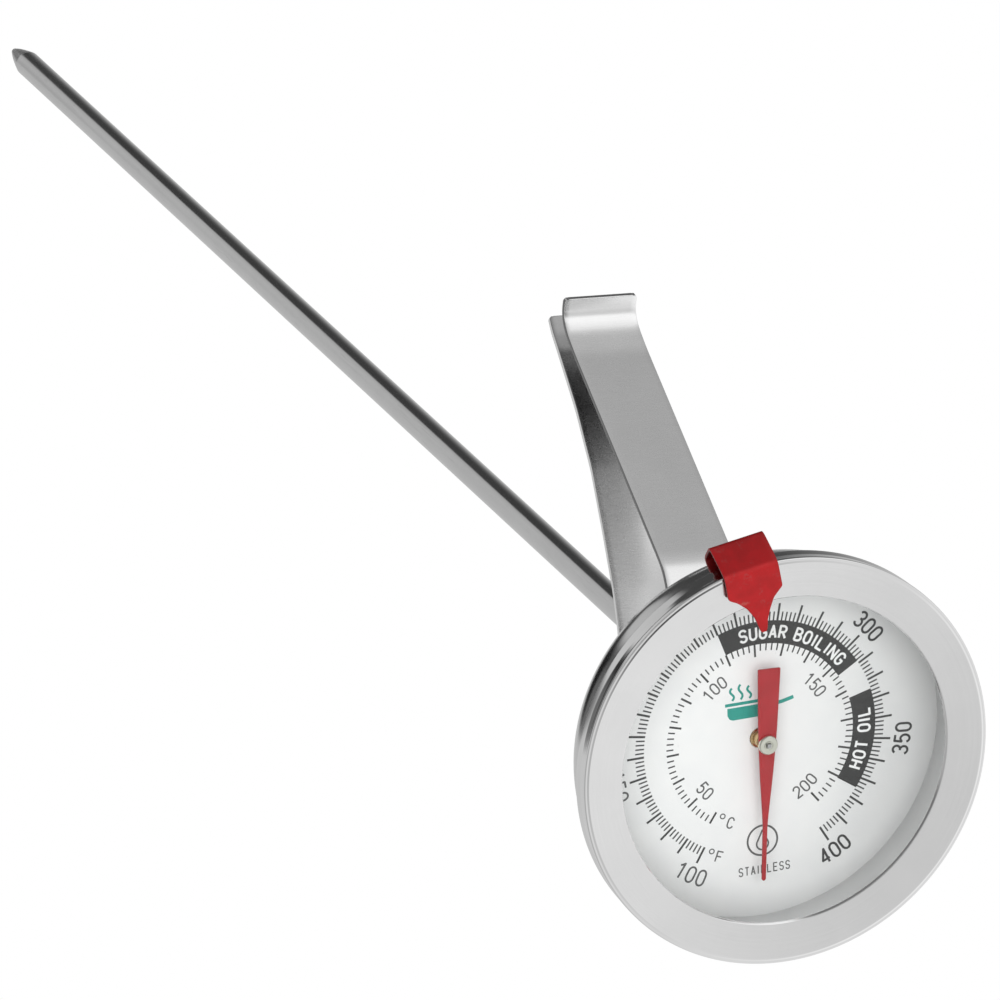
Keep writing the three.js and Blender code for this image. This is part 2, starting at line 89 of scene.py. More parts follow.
class Tree:
    """Short forms for building a shader tree."""

    def __init__(self, owner):
        owner.use_nodes = True
        self.nodes = owner.node_tree.nodes
        self.links = owner.node_tree.links
        self.nodes.clear()

    def put(self, socket, value):
        """Links or sets a socket; None leaves its default."""
        if isinstance(value, Signal):
            value = value.socket
        if isinstance(value, bpy.types.NodeSocket):
            self.links.new(value, socket)
        elif value is not None:
            socket.default_value = value

    def node(self, kind, *values, **props):
        """A new node, with values for its first sockets in order."""
        node = self.nodes.new(kind)
        for key, value in props.items():
            setattr(node, key, value)
        count = len(self.nodes)
        node.location = (190 * count, -(count % 5) * 180)
        for socket, value in zip(node.inputs, values):
            self.put(socket, value)
        return node

    def fill(self, node, **values):
        """Sets sockets by name, with _ for a space."""
        for key, value in values.items():
            self.put(node.inputs[key.replace("_", " ")], value)

    def math(self, operation, *values, clamp=False):
        node = self.node("ShaderNodeMath", *values, operation=operation, use_clamp=clamp)
        return Signal(self, node.outputs[0])

    def step(self, value, start, end):
        """Smooth step from 0 at start to 1 at end; start may lie above end."""
        span = (start, end, 0.0, 1.0) if start <= end else (end, start, 1.0, 0.0)
        node = self.node("ShaderNodeMapRange", value, *span,
                         interpolation_type="SMOOTHSTEP", clamp=True)
        return Signal(self, node.outputs[0])

    def band(self, value, rise, top, top_end, fall):
        """Rises from rise to top, falls from top_end to fall."""
        return self.step(value, rise, top) * self.step(value, fall, top_end)

    def lerp(self, share, first, second):
        """first to second as share goes 0 to 1, for numbers"""
        return self.math("MULTIPLY_ADD", share, self.math("SUBTRACT", second, first), first)

    def xyz(self, vector):
        node = self.node("ShaderNodeSeparateXYZ", vector)
        return [Signal(self, socket) for socket in node.outputs]

    def vec(self, x, y, z):
        return self.node("ShaderNodeCombineXYZ", x, y, z).outputs[0]

    def millimetres(self, axes="xyz"):
        """object coordinates in millimetres, for the named axes"""
        parts = self.xyz(self.node("ShaderNodeTexCoord").outputs["Object"])
        return [parts["xyz".index(axis)] * (1 / MM) for axis in axes]

    def normals(self):
        return self.xyz(self.node("ShaderNodeTexCoord").outputs["Normal"])

    def radius(self, x, y):
        return self.math("SQRT", x * x + y * y)

    def noise(self, vector, scale, detail, rough, distortion=0.0):
        node = self.node("ShaderNodeTexNoise", noise_dimensions="3D")
        self.fill(node, Vector=vector, Scale=scale, Detail=detail, Roughness=rough,
                  Distortion=distortion)
        return Signal(self, node.outputs[0])

    def mix_colour(self, share, first, second, blend="MIX"):
        node = self.node("ShaderNodeMix", data_type="RGBA", blend_type=blend)
        for index, value in ((0, share), (6, first), (7, second)):
            self.put(node.inputs[index], value)
        return node.outputs[2]

    def mix_shader(self, share, first, second):
        return self.node("ShaderNodeMixShader", share, first.outputs[0], second.outputs[0])

    def bump(self, height, strength, distance_mm):
        node = self.node("ShaderNodeBump")
        self.fill(node, Strength=strength, Distance=distance_mm * MM, Height=height)
        return node.outputs[0]

    def principled(self, **values):
        node = self.node("ShaderNodeBsdfPrincipled")
        self.fill(node, **values)
        self.finish(node)

    def finish(self, shader, kind="Material"):
        self.node("ShaderNodeOutput" + kind, shader.outputs[0])


def rgb(red, green=None, blue=None):
    """A colour, or a grey if only one level is given."""
    return (red, red if green is None else green, red if blue is None else blue, 1.0)


def outward(x, y, turn):
    """Distance along +y after a turn in degrees."""
    return x * -math.sin(math.radians(turn)) + y * math.cos(math.radians(turn))


def sideways(x, y, turn):
    """Distance along +x after a turn in degrees."""
    return x * math.cos(math.radians(turn)) + y * math.sin(math.radians(turn))


# ---------------------------------------------------------------- grain
# Each gives the stretched vector that a metal's fine noise is read from.


def turned_coords(tree, across, along):
    """Runs in circles round the part's axis: across is the density over the
    radius and height, along the density round the circle."""
    x, y, z = tree.millimetres()
    angle = tree.math("ARCTAN2", y, x)
    return tree.vec(tree.radius(x, y) * across, tree.math("COSINE", angle) * along,
                    z * across + tree.math("SINE", angle) * along)


def turned_grain(tree):
    return turned_coords(tree, across=7.0, along=1.4)


def turned_fine(tree):
    return turned_coords(tree, across=12.0, along=2.5)


def along_z(tree):
    x, y, z = tree.millimetres()
    angle = tree.math("ARCTAN2", y, x)
    return tree.vec(tree.math("COSINE", angle) * 22.0, tree.math("SINE", angle) * 22.0, z * 0.35)


def across_clip(tree):
    """grain that runs across the strip's width"""
    x, y, z = tree.millimetres()
    return tree.vec(sideways(x, y, CLIP_TURN) * 0.55, outward(x, y, CLIP_TURN) * 7.0, z * 7.0)


def plain_grain(tree):
    x, y, z = tree.millimetres()
    return tree.vec(x * 6.0, y * 6.0, z * 6.0)


# ---------------------------------------------------------------- local shading


def clip_gap(tree):
    """Painted shade on the strip, darkest on the faces that look at each other across
    the narrow end of the clip, with a painted highlight on the lip. The front leaf
    is the one further out."""
    x, y, z = tree.millimetres()
    out = outward(x, y, CLIP_TURN)
    z = z - Z_DIAL
    nx, ny, nz = tree.normals()
    n_out = outward(nx, ny, CLIP_TURN)
    # the slanting line midway between the leaves parts rear from front
    middle = 12.6 + (-38.0 - z) * 0.87
    rear = tree.step(middle - out, 0.0, 0.6)
    rear_faces = tree.step(n_out * 0.8 + nz * 0.6, 0.55, 0.9)
    front_faces = tree.step(n_out * -0.89 + nz * -0.457, 0.55, 0.9)
    front_inner = front_faces * 0.45 * tree.step(z, -58.6, -56.0)
    inner = rear * rear_faces + (1.0 - rear) * front_inner
    # painted shade: darkest deep in the gap, and at the foot of the rear leaf towards +x
    deep = tree.step(z, -42.0, -58.0) * 0.55
    side = sideways(x, y, CLIP_TURN)
    foot = tree.step(z, -47.5, -39.5) * (-0.12 + tree.step(side, -6.0, 3.5) * 0.54)
    # painted shade: a dark line on the cut edge of the front leaf on the -x side
    turn = math.radians(CLIP_TURN)
    n_left = nx * -math.cos(turn) + ny * -math.sin(turn)
    left = (1.0 - rear) * tree.step(n_left, 0.5, 0.85) * 0.80
    # painted highlight: the front leaf's curled lip is a little brighter on top
    lip_highlight = (1.0 - rear) * tree.step(z, -62.2, -63.3) * (tree.step(nz, 0.5, 0.8) * 0.11)
    painted_shade = tree.math("MAXIMUM", inner * tree.math("MAXIMUM", deep, foot), left)
    return 1.0 - painted_shade + lip_highlight


def marker_inside(tree):
    """Painted shade on the marker: dark inside its loop over the rim, and a little
    darker wherever it doesn't face up."""
    x, y, z = tree.millimetres()
    out = outward(x, y, MARKER_TURN)
    z = z - Z_DIAL
    nx, ny, nz = tree.normals()
    n_out = outward(nx, ny, MARKER_TURN)
    # negative where a face looks at the loop's middle
    towards = n_out * (out - 28.6) + nz * (z - 6.2)
    inner = tree.step(towards, 0.15, -0.25) * tree.step(out, 26.2, 26.7)
    # painted shade on the faces that don't face up
    sloping = tree.step(nz, 0.92, 0.72) * 0.25
    return 1.0 - tree.math("MAXIMUM", inner * 0.78, sloping)


def faded(tree):
    """painted shade: the enamel is darker towards three o'clock"""
    x, y = tree.millimetres("xy")
    wide = tree.step(x - y * 0.14, -9.0, 15.0) * 0.075
    return 1.0 - wide - tree.step(x - y * 0.06, 5.0, 25.0) * 0.16


def bright_rims(tree, rough):
    """the bezel's face is satin; its rim and lip are polished"""
    x, y = tree.millimetres("xy")
    face = tree.band(tree.radius(x, y), 22.68, 22.86, 27.1, 27.4)
    return tree.lerp(face, 0.10, rough)


def dull_point(tree, rough):
    """the stem is rougher towards its point"""
    (z,) = tree.millimetres("z")
    return rough + (tree.step(z, 60.0, 5.0) * 0.07 + tree.step(z, 7.2, 6.2) * 0.14)


# ---------------------------------------------------------------- materials


def metal(name, colour, rough, grain, grain_mix, grain_rough, bump, blotch,
          aniso=0.0, edge=0.0, scratch=0.0, tint=(1.0, 1.0, 1.0), shade=None, polish=None):
    """Bare metal. grain_mix, blotch, edge and scratch vary the brightness and
    grain_rough the roughness; bump is (strength, millimetres). shade scales the
    brightness and polish replaces the roughness from place to place."""
    material = bpy.data.materials.new(name)
    tree = Tree(material)
    fine = tree.noise(grain(tree), scale=1.0, detail=3.0, rough=0.6)
    place = tree.vec(*tree.millimetres())
    big = tree.noise(place, scale=0.16, detail=3.0, rough=0.55, distortion=0.4)
    speck = tree.noise(place, scale=2.3, detail=2.0, rough=0.6)
    value = (fine - 0.5) * (grain_mix * 2) + (big - 0.5) * (blotch * 2) + 1.0
    if scratch:
        # sparse long scratches, from a stretched noise pushed over a threshold
        lines = tree.noise(grain(tree), scale=0.37, detail=1.0, rough=0.4, distortion=1.2)
        value = value - tree.step(lines, 0.66, 0.74) * scratch
    if edge:
        geometry = tree.node("ShaderNodeNewGeometry")
        value = value + tree.step(geometry.outputs["Pointiness"], 0.52, 0.60) * edge
    value = value * colour
    # shade multiplies painted light and shade into the colour
    if shade:
        value = value * shade(tree)
    base = tree.vec(*(value * share for share in tint))
    vary = (fine - 0.5) * (grain_rough * 2) + (speck - 0.5) * 0.06
    roughness = tree.math("ADD", vary, polish(tree, rough) if polish else rough, clamp=True)
    extra = {}
    if aniso:
        tangent = tree.node("ShaderNodeTangent", direction_type="RADIAL", axis="Z")
        extra = {"Anisotropic": aniso, "Tangent": tangent.outputs[0]}
    tree.principled(Base_Color=base, Metallic=1.0, Roughness=roughness,
                    Normal=tree.bump(fine, *bump), **extra)
    return material


def paint(name, colours, rough, scale, bump, spec=0.5, wear=None, speckle=0.0, shade=None,
          rubbed=None):
    """Paint, enamel or ink, mottled between two close colours at a noise scale.
    bump is (strength, millimetres), wear the colour of worn edges, speckle and
    rubbed the strength of dots and of thin places."""
    material = bpy.data.materials.new(name)
    tree = Tree(material)
    place = tree.vec(*tree.millimetres())
    mottled = tree.noise(place, scale=scale, detail=4.0, rough=0.6, distortion=0.3)
    fine = tree.noise(place, scale=9.0, detail=2.0, rough=0.6)
    base = tree.mix_colour(tree.step(mottled * 0.7 + fine * 0.3, 0.36, 0.64), *colours)
    if speckle:
        dots = tree.step(tree.noise(place, scale=3.1, detail=1.0, rough=0.5), 0.73, 0.77)
        base = tree.mix_colour(dots * speckle, base, rgb(0.25, 0.24, 0.22))
    if rubbed is not None:
        # small dull places where the paint is rubbed thin
        broad = tree.noise(place, scale=0.62, detail=2.0, rough=0.65, distortion=0.5)
        small = tree.noise(place, scale=2.6, detail=2.0, rough=0.6)
        places = tree.step(broad, 0.56, 0.70) * tree.step(small, 0.44, 0.58)
        base = tree.mix_colour(places * rubbed, base, rgb(0.20, 0.095, 0.092))
    if wear is not None:
        geometry = tree.node("ShaderNodeNewGeometry")
        edges = tree.step(geometry.outputs["Pointiness"], 0.545, 0.62)
        base = tree.mix_colour(edges * tree.step(fine, 0.35, 0.6), base, wear)
    # shade multiplies painted light and shade into the colour
    if shade:
        level = shade(tree)
        base = tree.mix_colour(1.0, base, tree.vec(level, level, level), "MULTIPLY")
    tree.principled(Base_Color=base, Metallic=0.0, Roughness=rough + (mottled - 0.5) * 0.16,
                    Normal=tree.bump(fine + mottled * 0.8, *bump), Specular_IOR_Level=spec)
    return material


def glass(name):
    """A flat clear pane: straight through, with a mirror share that grows at
    grazing angles and a faint smear."""
    material = bpy.data.materials.new(name)
    tree = Tree(material)
    geometry = tree.node("ShaderNodeNewGeometry")
    dot = tree.node("ShaderNodeVectorMath", geometry.outputs["Normal"],
                    geometry.outputs["Incoming"], operation="DOT_PRODUCT")
    facing = tree.math("ABSOLUTE", dot.outputs["Value"])
    share = tree.math("MULTIPLY_ADD", tree.math("POWER", 1.0 - facing, 5.0), 0.95, 0.012)
    smear = tree.noise(tree.vec(*tree.millimetres()), scale=0.12, detail=3.0, rough=0.6,
                       distortion=0.8)
    share = share + tree.step(smear, 0.45, 0.8) * 0.008
    clear = tree.node("ShaderNodeBsdfTransparent", (0.985, 0.99, 0.988, 1))
    gloss = tree.node("ShaderNodeBsdfGlossy")
    tree.fill(gloss, Color=(1, 1, 1, 1), Roughness=0.03 + smear * 0.03)
    tree.finish(tree.mix_shader(share, clear, gloss))
    return material


BEZEL_STEEL = metal("steel_bezel", colour=0.83, rough=0.22, grain=turned_grain, grain_mix=0.045,
                    grain_rough=0.07, bump=(0.22, 0.004), blotch=0.04, polish=bright_rims)
CUP_STEEL = metal("steel_cup", colour=0.70, rough=0.17, grain=turned_grain, grain_mix=0.05,
                  grain_rough=0.07, bump=(0.3, 0.006), blotch=0.07, aniso=0.3, scratch=0.10)
RING_STEEL = metal("steel_dial_ring", colour=0.735, rough=0.36, grain=turned_fine,
                   grain_mix=0.05, grain_rough=0.06, bump=(0.3, 0.004), blotch=0.04, aniso=0.2)
STEM_STEEL = metal("steel_stem", colour=0.64, rough=0.15, grain=along_z, grain_mix=0.07,
                   grain_rough=0.06, bump=(0.35, 0.004), blotch=0.05, scratch=0.10,
                   polish=dull_point)
COLLAR_STEEL = metal("steel_collar", colour=0.68, rough=0.26, grain=turned_fine,
                     grain_mix=0.06, grain_rough=0.08, bump=(0.35, 0.006), blotch=0.05,
                     aniso=0.3, edge=0.06)
CLIP_STEEL = metal("steel_clip", colour=0.85, rough=0.25, grain=across_clip, grain_mix=0.06,
                   grain_rough=0.07, bump=(0.30, 0.004), blotch=0.05, edge=0.10, scratch=0.03,
                   shade=clip_gap)
SPINDLE_STEEL = metal("steel_spindle", colour=0.55, rough=0.3, grain=plain_grain,
                      grain_mix=0.08, grain_rough=0.08, bump=(0.3, 0.005), blotch=0.05)
HUB_ALLOY = metal("alloy_hub", colour=0.80, rough=0.36, grain=turned_fine, grain_mix=0.05,
                  grain_rough=0.07, bump=(0.3, 0.005), blotch=0.05, aniso=0.2, edge=0.05,
                  tint=(1.0, 1.0, 0.88))
BRASS = metal("brass", colour=0.78, rough=0.26, grain=turned_fine, grain_mix=0.06,
              grain_rough=0.08, bump=(0.35, 0.006), blotch=0.08, aniso=0.2, edge=0.05,
              tint=(1.0, 0.72, 0.36))
BIMETAL = metal("bimetal_strip", colour=0.52, rough=0.38, grain=plain_grain, grain_mix=0.10,
                grain_rough=0.08, bump=(0.4, 0.008), blotch=0.12, edge=0.05,
                tint=(1.0, 0.93, 0.82))
WASHER_STEEL = metal("steel_washer", colour=0.62, rough=0.36, grain=turned_fine,
                     grain_mix=0.06, grain_rough=0.08, bump=(0.3, 0.006), blotch=0.08, aniso=0.2)

DIAL_ENAMEL = paint("dial_enamel", (rgb(0.873, 0.870, 0.867), rgb(0.843, 0.842, 0.845)),
                    rough=0.42, scale=0.25, bump=(0.06, 0.004), speckle=0.25, shade=faded)
BLACK_INK = paint("dial_ink", (rgb(0.040), rgb(0.062)), rough=0.55, scale=1.6,
                  bump=(0.1, 0.002))
GREY_INK = paint("dial_ink_grey", (rgb(0.085), rgb(0.12)), rough=0.55, scale=1.6,
                 bump=(0.1, 0.002))
BAND_INK = paint("dial_band_ink", (rgb(0.031), rgb(0.047)), rough=0.5, scale=2.2,
                 bump=(0.1, 0.002))
WORD_INK = paint("band_lettering", (rgb(0.86), rgb(0.80)), rough=0.5, scale=1.5,
                 bump=(0.05, 0.002))
TEAL_INK = paint("emblem_ink", (rgb(0.030, 0.33, 0.27), rgb(0.022, 0.28, 0.23)), rough=0.5,
                 scale=1.6, bump=(0.1, 0.002))
POINTER_RED = paint("pointer_red", (rgb(0.39, 0.017, 0.023), rgb(0.33, 0.014, 0.018)),
                    rough=0.38, scale=0.6, bump=(0.15, 0.008), wear=rgb(0.30, 0.03, 0.03))
MARKER_RED = paint("marker_red", (rgb(0.39, 0.0070, 0.0095), rgb(0.32, 0.0060, 0.0075)),
                   rough=0.36, scale=0.45, bump=(0.18, 0.010), spec=0.35,
                   wear=rgb(0.40, 0.075, 0.062), shade=marker_inside, rubbed=0.20)
GASKET_RUBBER = paint("gasket_rubber", (rgb(0.030), rgb(0.018)), rough=0.72, scale=1.2,
                      bump=(0.3, 0.01), spec=0.3)
WINDOW_GLASS = glass("window_glass")

# ---------------------------------------------------------------- mesh helpers


def smooth(mesh, angle):
    mesh.shade_smooth()
    mesh.set_sharp_from_angle(angle=math.radians(angle))


def build(name, verts, faces, material, angle=28.0):
    """A mesh object from millimetre points, with outward faces."""
    mesh = bpy.data.meshes.new(name)
    mesh.from_pydata((np.asarray(verts, float) * MM).tolist(), [], faces)
    edit = bmesh.new()
    edit.from_mesh(mesh)
    bmesh.ops.recalc_face_normals(edit, faces=edit.faces)
    if edit.calc_volume(signed=True) < 0:
        bmesh.ops.reverse_faces(edit, faces=edit.faces)
    edit.to_mesh(mesh)
    edit.free()
    smooth(mesh, angle)
    obj = bpy.data.objects.new(name, mesh)
    bpy.context.scene.collection.objects.link(obj)
    mesh.materials.append(material)
    return obj


def rides(obj, body, slot, *nodes):
    """Fixes obj to a body and hides the CAD nodes it replaces; slot is not used."""
    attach(obj, body)
    if nodes:
        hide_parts(*nodes)


def add_row(verts, points):
    """Adds points to verts and gives their indices."""
    start = len(verts)
    verts.extend(points)
    return list(range(start, len(verts)))


def bridge(low, high):
    """quads between two closed rows"""
    count = len(low)
    return [(low[k], low[(k + 1) % count], high[(k + 1) % count], high[k])
            for k in range(count)]


def skin(rows):
    return [face for low, high in zip(rows[:-1], rows[1:]) for face in bridge(low, high)]


def oval(cx, cy, rx, ry, start, end, steps):
    angles = [math.radians(start + (end - start) * k / steps) for k in range(steps + 1)]
    return [(cx + rx * math.cos(a), cy + ry * math.sin(a)) for a in angles]


def arc(cx, cy, radius, start, end, steps):
    return oval(cx, cy, radius, radius, start, end, steps)


def rotated(points, degrees):
    cos, sin = math.cos(math.radians(degrees)), math.sin(math.radians(degrees))
    return [(x * cos - y * sin, x * sin + y * cos) for x, y in points]


def fillet(points, steps, closed=True, support=0.05):
    """Rounds a polyline of (x, y) or (x, y, radius). Short support edges beside
    each round keep the flats flat under smooth shading."""
    count = len(points)
    out = []
    for i, (x, y, *given) in enumerate(points):
        radius = given[0] if given else 0.0
        if radius <= 0 or (not closed and i in (0, count - 1)):
            out.append((x, y))
            continue
        here = np.array([x, y])
        back = np.array(points[i - 1][:2]) - here
        ahead = np.array(points[(i + 1) % count][:2]) - here
        back_len, ahead_len = np.linalg.norm(back), np.linalg.norm(ahead)
        back, ahead = back / back_len, ahead / ahead_len
        inside = math.acos(float(np.clip(back @ ahead, -1, 1)))
        if inside > math.radians(176):
            out.append((x, y))
            continue
        reach = radius / math.tan(inside / 2)
        limit = 0.45 * min(back_len, ahead_len)
        if reach > limit:
            reach = limit
            radius = reach * math.tan(inside / 2)
        start, end = here + back * reach, here + ahead * reach
        bisector = (back + ahead) / np.linalg.norm(back + ahead)
        centre = here + bisector * (radius / math.sin(inside / 2))
        if back_len * 0.5 > reach + support * 1.5:
            out.append(tuple(start + back * support))
        first = math.atan2(*(start - centre)[::-1])
        last = math.atan2(*(end - centre)[::-1])
        sweep = (last - first + math.pi) % (2 * math.pi) - math.pi
        for k in range(steps + 1):
            angle = first + sweep * k / steps
            out.append((centre[0] + radius * math.cos(angle),
                        centre[1] + radius * math.sin(angle)))
        if ahead_len * 0.5 > reach + support * 1.5:
            out.append(tuple(end + ahead * support))
    return out


def lathe(name, profile, material, segments, steps, base=Z_DIAL):
    """Turns a profile of (radius, z, fillet) round the z axis: a closed loop, or
    a line that starts and ends on the axis. steps are those of each fillet."""
    closed = abs(profile[0][0]) > 1e-9
    angles = [2 * math.pi * k / segments for k in range(segments)]
    verts, rows, faces = [], [], []
    for radius, z in fillet(profile, steps, closed):
        if abs(radius) < 1e-9:
            points = [(0, 0, z + base)]
        else:
            points = [(radius * math.cos(a), radius * math.sin(a), z + base) for a in angles]
        rows.append(add_row(verts, points))
    pairs = list(zip(rows[:-1], rows[1:]))
    if closed:
        pairs.append((rows[-1], rows[0]))
    for low, high in pairs:
        if len(low) == 1:
            faces += [(low[0], high[(k + 1) % segments], high[k]) for k in range(segments)]
        elif len(high) == 1:
            faces += [(low[k], low[(k + 1) % segments], high[0]) for k in range(segments)]
        else:
            faces += bridge(low, high)
    return build(name, verts, faces, material)


def prism(outline, z_low, z_high):
    count = len(outline)
    verts = [(x, y, z) for z in (z_low, z_high) for x, y in outline]
    low, high = tuple(range(count)), tuple(range(count, 2 * count))
    return verts, [low[::-1], high] + bridge(low, high)


def cut(obj, angle, *cutters):
    """Takes the cutters out of obj's mesh, deletes them and smooths the result."""
    for cutter in cutters:
        modifier = obj.modifiers.new("cut", "BOOLEAN")
        modifier.operation, modifier.object, modifier.solver = "DIFFERENCE", cutter, "EXACT"
    depsgraph = bpy.context.evaluated_depsgraph_get()
    mesh = bpy.data.meshes.new_from_object(obj.evaluated_get(depsgraph), depsgraph=depsgraph)
    obj.modifiers.clear()
    old = obj.data
    obj.data = mesh
    mesh.materials.clear()
    for material in old.materials:
        mesh.materials.append(material)
    for polygon in mesh.polygons:
        polygon.material_index = 0
    name = old.name
    bpy.data.meshes.remove(old)
    mesh.name = name
    for cutter in cutters:
        cutter_mesh = cutter.data
        bpy.data.objects.remove(cutter)
        bpy.data.meshes.remove(cutter_mesh)
    smooth(mesh, angle)


# ---------------------------------------------------------------- sheet strips

EDGE_STEPS = 3  # steps of the round on each long edge


def distances(line):
    """distance along the line at each of its points"""
    return np.concatenate([[0], np.cumsum(np.linalg.norm(np.diff(line, axis=0), axis=1))])


def points_at(line, where):
    """points of the line at the given distances along it"""
    along = distances(line)
    return np.stack([np.interp(where, along, line[:, k]) for k in range(2)], 1)


def smooth_line(line, sigma, spacing):
    """Resamples a polyline and rounds its corners; straight runs stay straight."""
    line = np.asarray(line, float)
    total = distances(line)[-1]
    count = int(total / spacing)
    even = points_at(line, np.linspace(0, total, count + 1))
    pitch = total / count
    reach = int(4 * sigma / pitch)
    kernel = np.exp(-0.5 * (np.arange(-reach, reach + 1) * pitch / sigma) ** 2)
    kernel /= kernel.sum()
    before = 2 * even[0] - even[reach:0:-1]
    after = 2 * even[-1] - even[-2:-reach - 2:-1]
    padded = np.concatenate([before, even, after])
    return np.stack([np.convolve(padded[:, c], kernel, "valid") for c in range(2)], 1)


def bar_section(left, right, half, edge, cross):
    """Cross section of a flat bar with rounded edges, from -left to right and
    -half to half, with cross divisions over each flat."""
    flat = left + right - 2 * edge
    return ([(-left + edge + flat * k / cross, -half) for k in range(cross + 1)]
            + arc(right - edge, -half + edge, edge, -90, 0, EDGE_STEPS)[1:]
            + arc(right - edge, half - edge, edge, 0, 90, EDGE_STEPS)
            + [(right - edge - flat * k / cross, half) for k in range(1, cross + 1)]
            + arc(-left + edge, half - edge, edge, 90, 180, EDGE_STEPS)[1:]
            + arc(-left + edge, -half + edge, edge, 180, 270, EDGE_STEPS)[:-1])


def strip_cap(row, cross, flip):
    """quads across a strip's end, so that no long ngon is left"""
    top_start = cross + 1 + 2 * EDGE_STEPS
    bottom = row[:cross + 1]
    top = row[top_start:top_start + cross + 1][::-1]
    faces = [(bottom[k], bottom[k + 1], top[k + 1], top[k]) for k in range(cross)]
    faces.append(tuple(row[cross:top_start + 1]))
    faces.append(tuple(row[top_start + cross:] + [row[0]]))
    return faces if flip else [face[::-1] for face in faces]


def strip_mesh(line, left, right, thick, edge, turn, cross):
    """Sheet strip along a centre line of (outward, z). left and right are the
    distances of each edge from the line's plane, for each station."""
    tangent = np.gradient(line, axis=0)
    tangent /= np.linalg.norm(tangent, axis=1)[:, None]
    normal = np.stack([-tangent[:, 1], tangent[:, 0]], 1)
    angle = math.radians(turn)
    out_axis = np.array([-math.sin(angle), math.cos(angle)])
    side_axis = np.array([math.cos(angle), math.sin(angle)])
    half = thick / 2
    # eased ends: (distance in, inset) as shares of the edge
    ease = [(0.0, 1.0), (0.13, 0.5), (0.5, 0.13), (1.0, 0.0)]

    def eased(end, sign, shares):
        return [(line[end] + tangent[end] * edge * share * sign, normal[end],
                 left[end] - edge * inset, right[end] - edge * inset, half - edge * inset)
                for share, inset in shares]

    stations = eased(0, 1, ease)
    stations += [(line[i], normal[i], left[i], right[i], half) for i in range(1, len(line) - 1)]
    stations += eased(-1, -1, ease[::-1])
    verts, rows = [], []
    for centre, up, to_left, to_right, half_here in stations:
        points = []
        rounding = min(edge, half_here * 0.9)
        for side, height in bar_section(to_left, to_right, half_here, rounding, cross):
            out, z = centre + up * height
            x, y = out_axis * out + side_axis * side
            points.append((x, y, z + Z_DIAL))
        rows.append(add_row(verts, points))
    caps = strip_cap(rows[0], cross, False) + strip_cap(rows[-1], cross, True)
    return verts, skin(rows) + caps


# ---------------------------------------------------------------- case

# Closed loop of (radius, z, fillet): lip, shallow conical front, small bead at
# the rim, skirt and crimp.
BEZEL = [
    (26.52, 5.60, 0.10), (27.64, 5.60, 0.20), (27.88, 5.90, 0.25), (27.86, 6.25, 0.5),
    (27.76, 7.15, 1.5), (27.84, 8.25, 0.7), (28.00, 8.60, 0.22), (28.00, 9.20, 0.50),
    (27.62, 9.195, 0.10), (27.38, 9.262, 0.10), (22.70, 8.80, 0.16), (22.43, 8.44, 0.12),
    (22.78, 8.25, 0.1), (27.20, 8.60, 0.3), (27.46, 8.20, 0.3), (27.36, 6.9, 0.5),
    (27.25, 5.95, 0.15), (26.52, 5.90, 0.10),
]
rides(lathe("bezel_front_ring", BEZEL, BEZEL_STEEL, segments=288, steps=6),
      "case", "bezel", "bezel_ring")


def case_shell():
    """Drawn cup with a rounded back corner and a flange under the window."""
    thick = 0.3
    corner_r, corner_z, outer = 18.8, 2.3, 7.5
    profile = [(2.75, Z_BACK + 0.2), (5.35, Z_BACK + 0.2, 0.3), (5.65, Z_BACK, 0.3)]
    profile += arc(corner_r, corner_z, outer, -90, 0, 28)
    profile += [(26.3, 5.70, 0.12), (26.46, 5.95, 0.1), (27.1, 5.95, 0.1), (27.1, 6.35, 0.1),
                (26.35, 6.35, 0.2), (26.0, 5.6, 0.3)]
    profile += arc(corner_r, corner_z, outer - thick, 0, -90, 28)
    profile += [(5.75, Z_BACK + thick, 0.3), (5.45, Z_BACK + 0.5, 0.3), (2.75, Z_BACK + 0.5)]
    return lathe("case_shell", profile, CUP_STEEL, segments=256, steps=4)


rides(case_shell(), "case", "case", "case_cup")

Z_LENS_TOP = Z_LENS + LENS_THICK
WINDOW = [(0, Z_LENS), (27.0, Z_LENS, 0.2), (27.0, Z_LENS_TOP, 0.2), (0, Z_LENS_TOP)]
rides(lathe("window", WINDOW, WINDOW_GLASS, segments=192, steps=4), "case", "lens", "lens")

SEAL = [(23.4, 7.72, 0.1), (26.9, 7.72, 0.1), (26.9, 8.2, 0.1), (23.4, 8.2, 0.1)]
rides(lathe("window_seal", SEAL, GASKET_RUBBER, segments=192, steps=3),
      "case", "gasket", "lens_gasket")

SURROUND = [(24.9, 0.03, 0.1), (25.5, 0.03, 0.1), (25.5, 6.37, 0.1), (24.9, 6.37, 0.15)]
rides(lathe("dial_surround", SURROUND, RING_STEEL, segments=256, steps=4),
      "case", "dial_ring", "dial_ring")

DIAL_PLATE = [(1.4, -0.6, 0.05), (25.25, -0.6, 0.1), (25.25, 0.0, 0.1), (1.4, 0.0, 0.06)]
rides(lathe("dial_face", DIAL_PLATE, DIAL_ENAMEL, segments=192, steps=3),
      "case", "dial", "dial_plate")

# Brass bush that stands up through the dial.
DIAL_BUSH = [
    (0.45, -1.4, 0.03), (2.4, -1.4, 0.15), (2.4, -0.62, 0.1), (1.35, -0.62, 0.02),
    (1.35, 0.02, 0.05), (1.05, 0.1, 0.05), (1.05, 1.35, 0.12), (0.85, 1.6, 0.1),
    (0.45, 1.6, 0.04),
]
rides(lathe("dial_bush", DIAL_BUSH, BRASS, segments=96, steps=4), "case", "bush", "upper_bearing")

# ---------------------------------------------------------------- stem


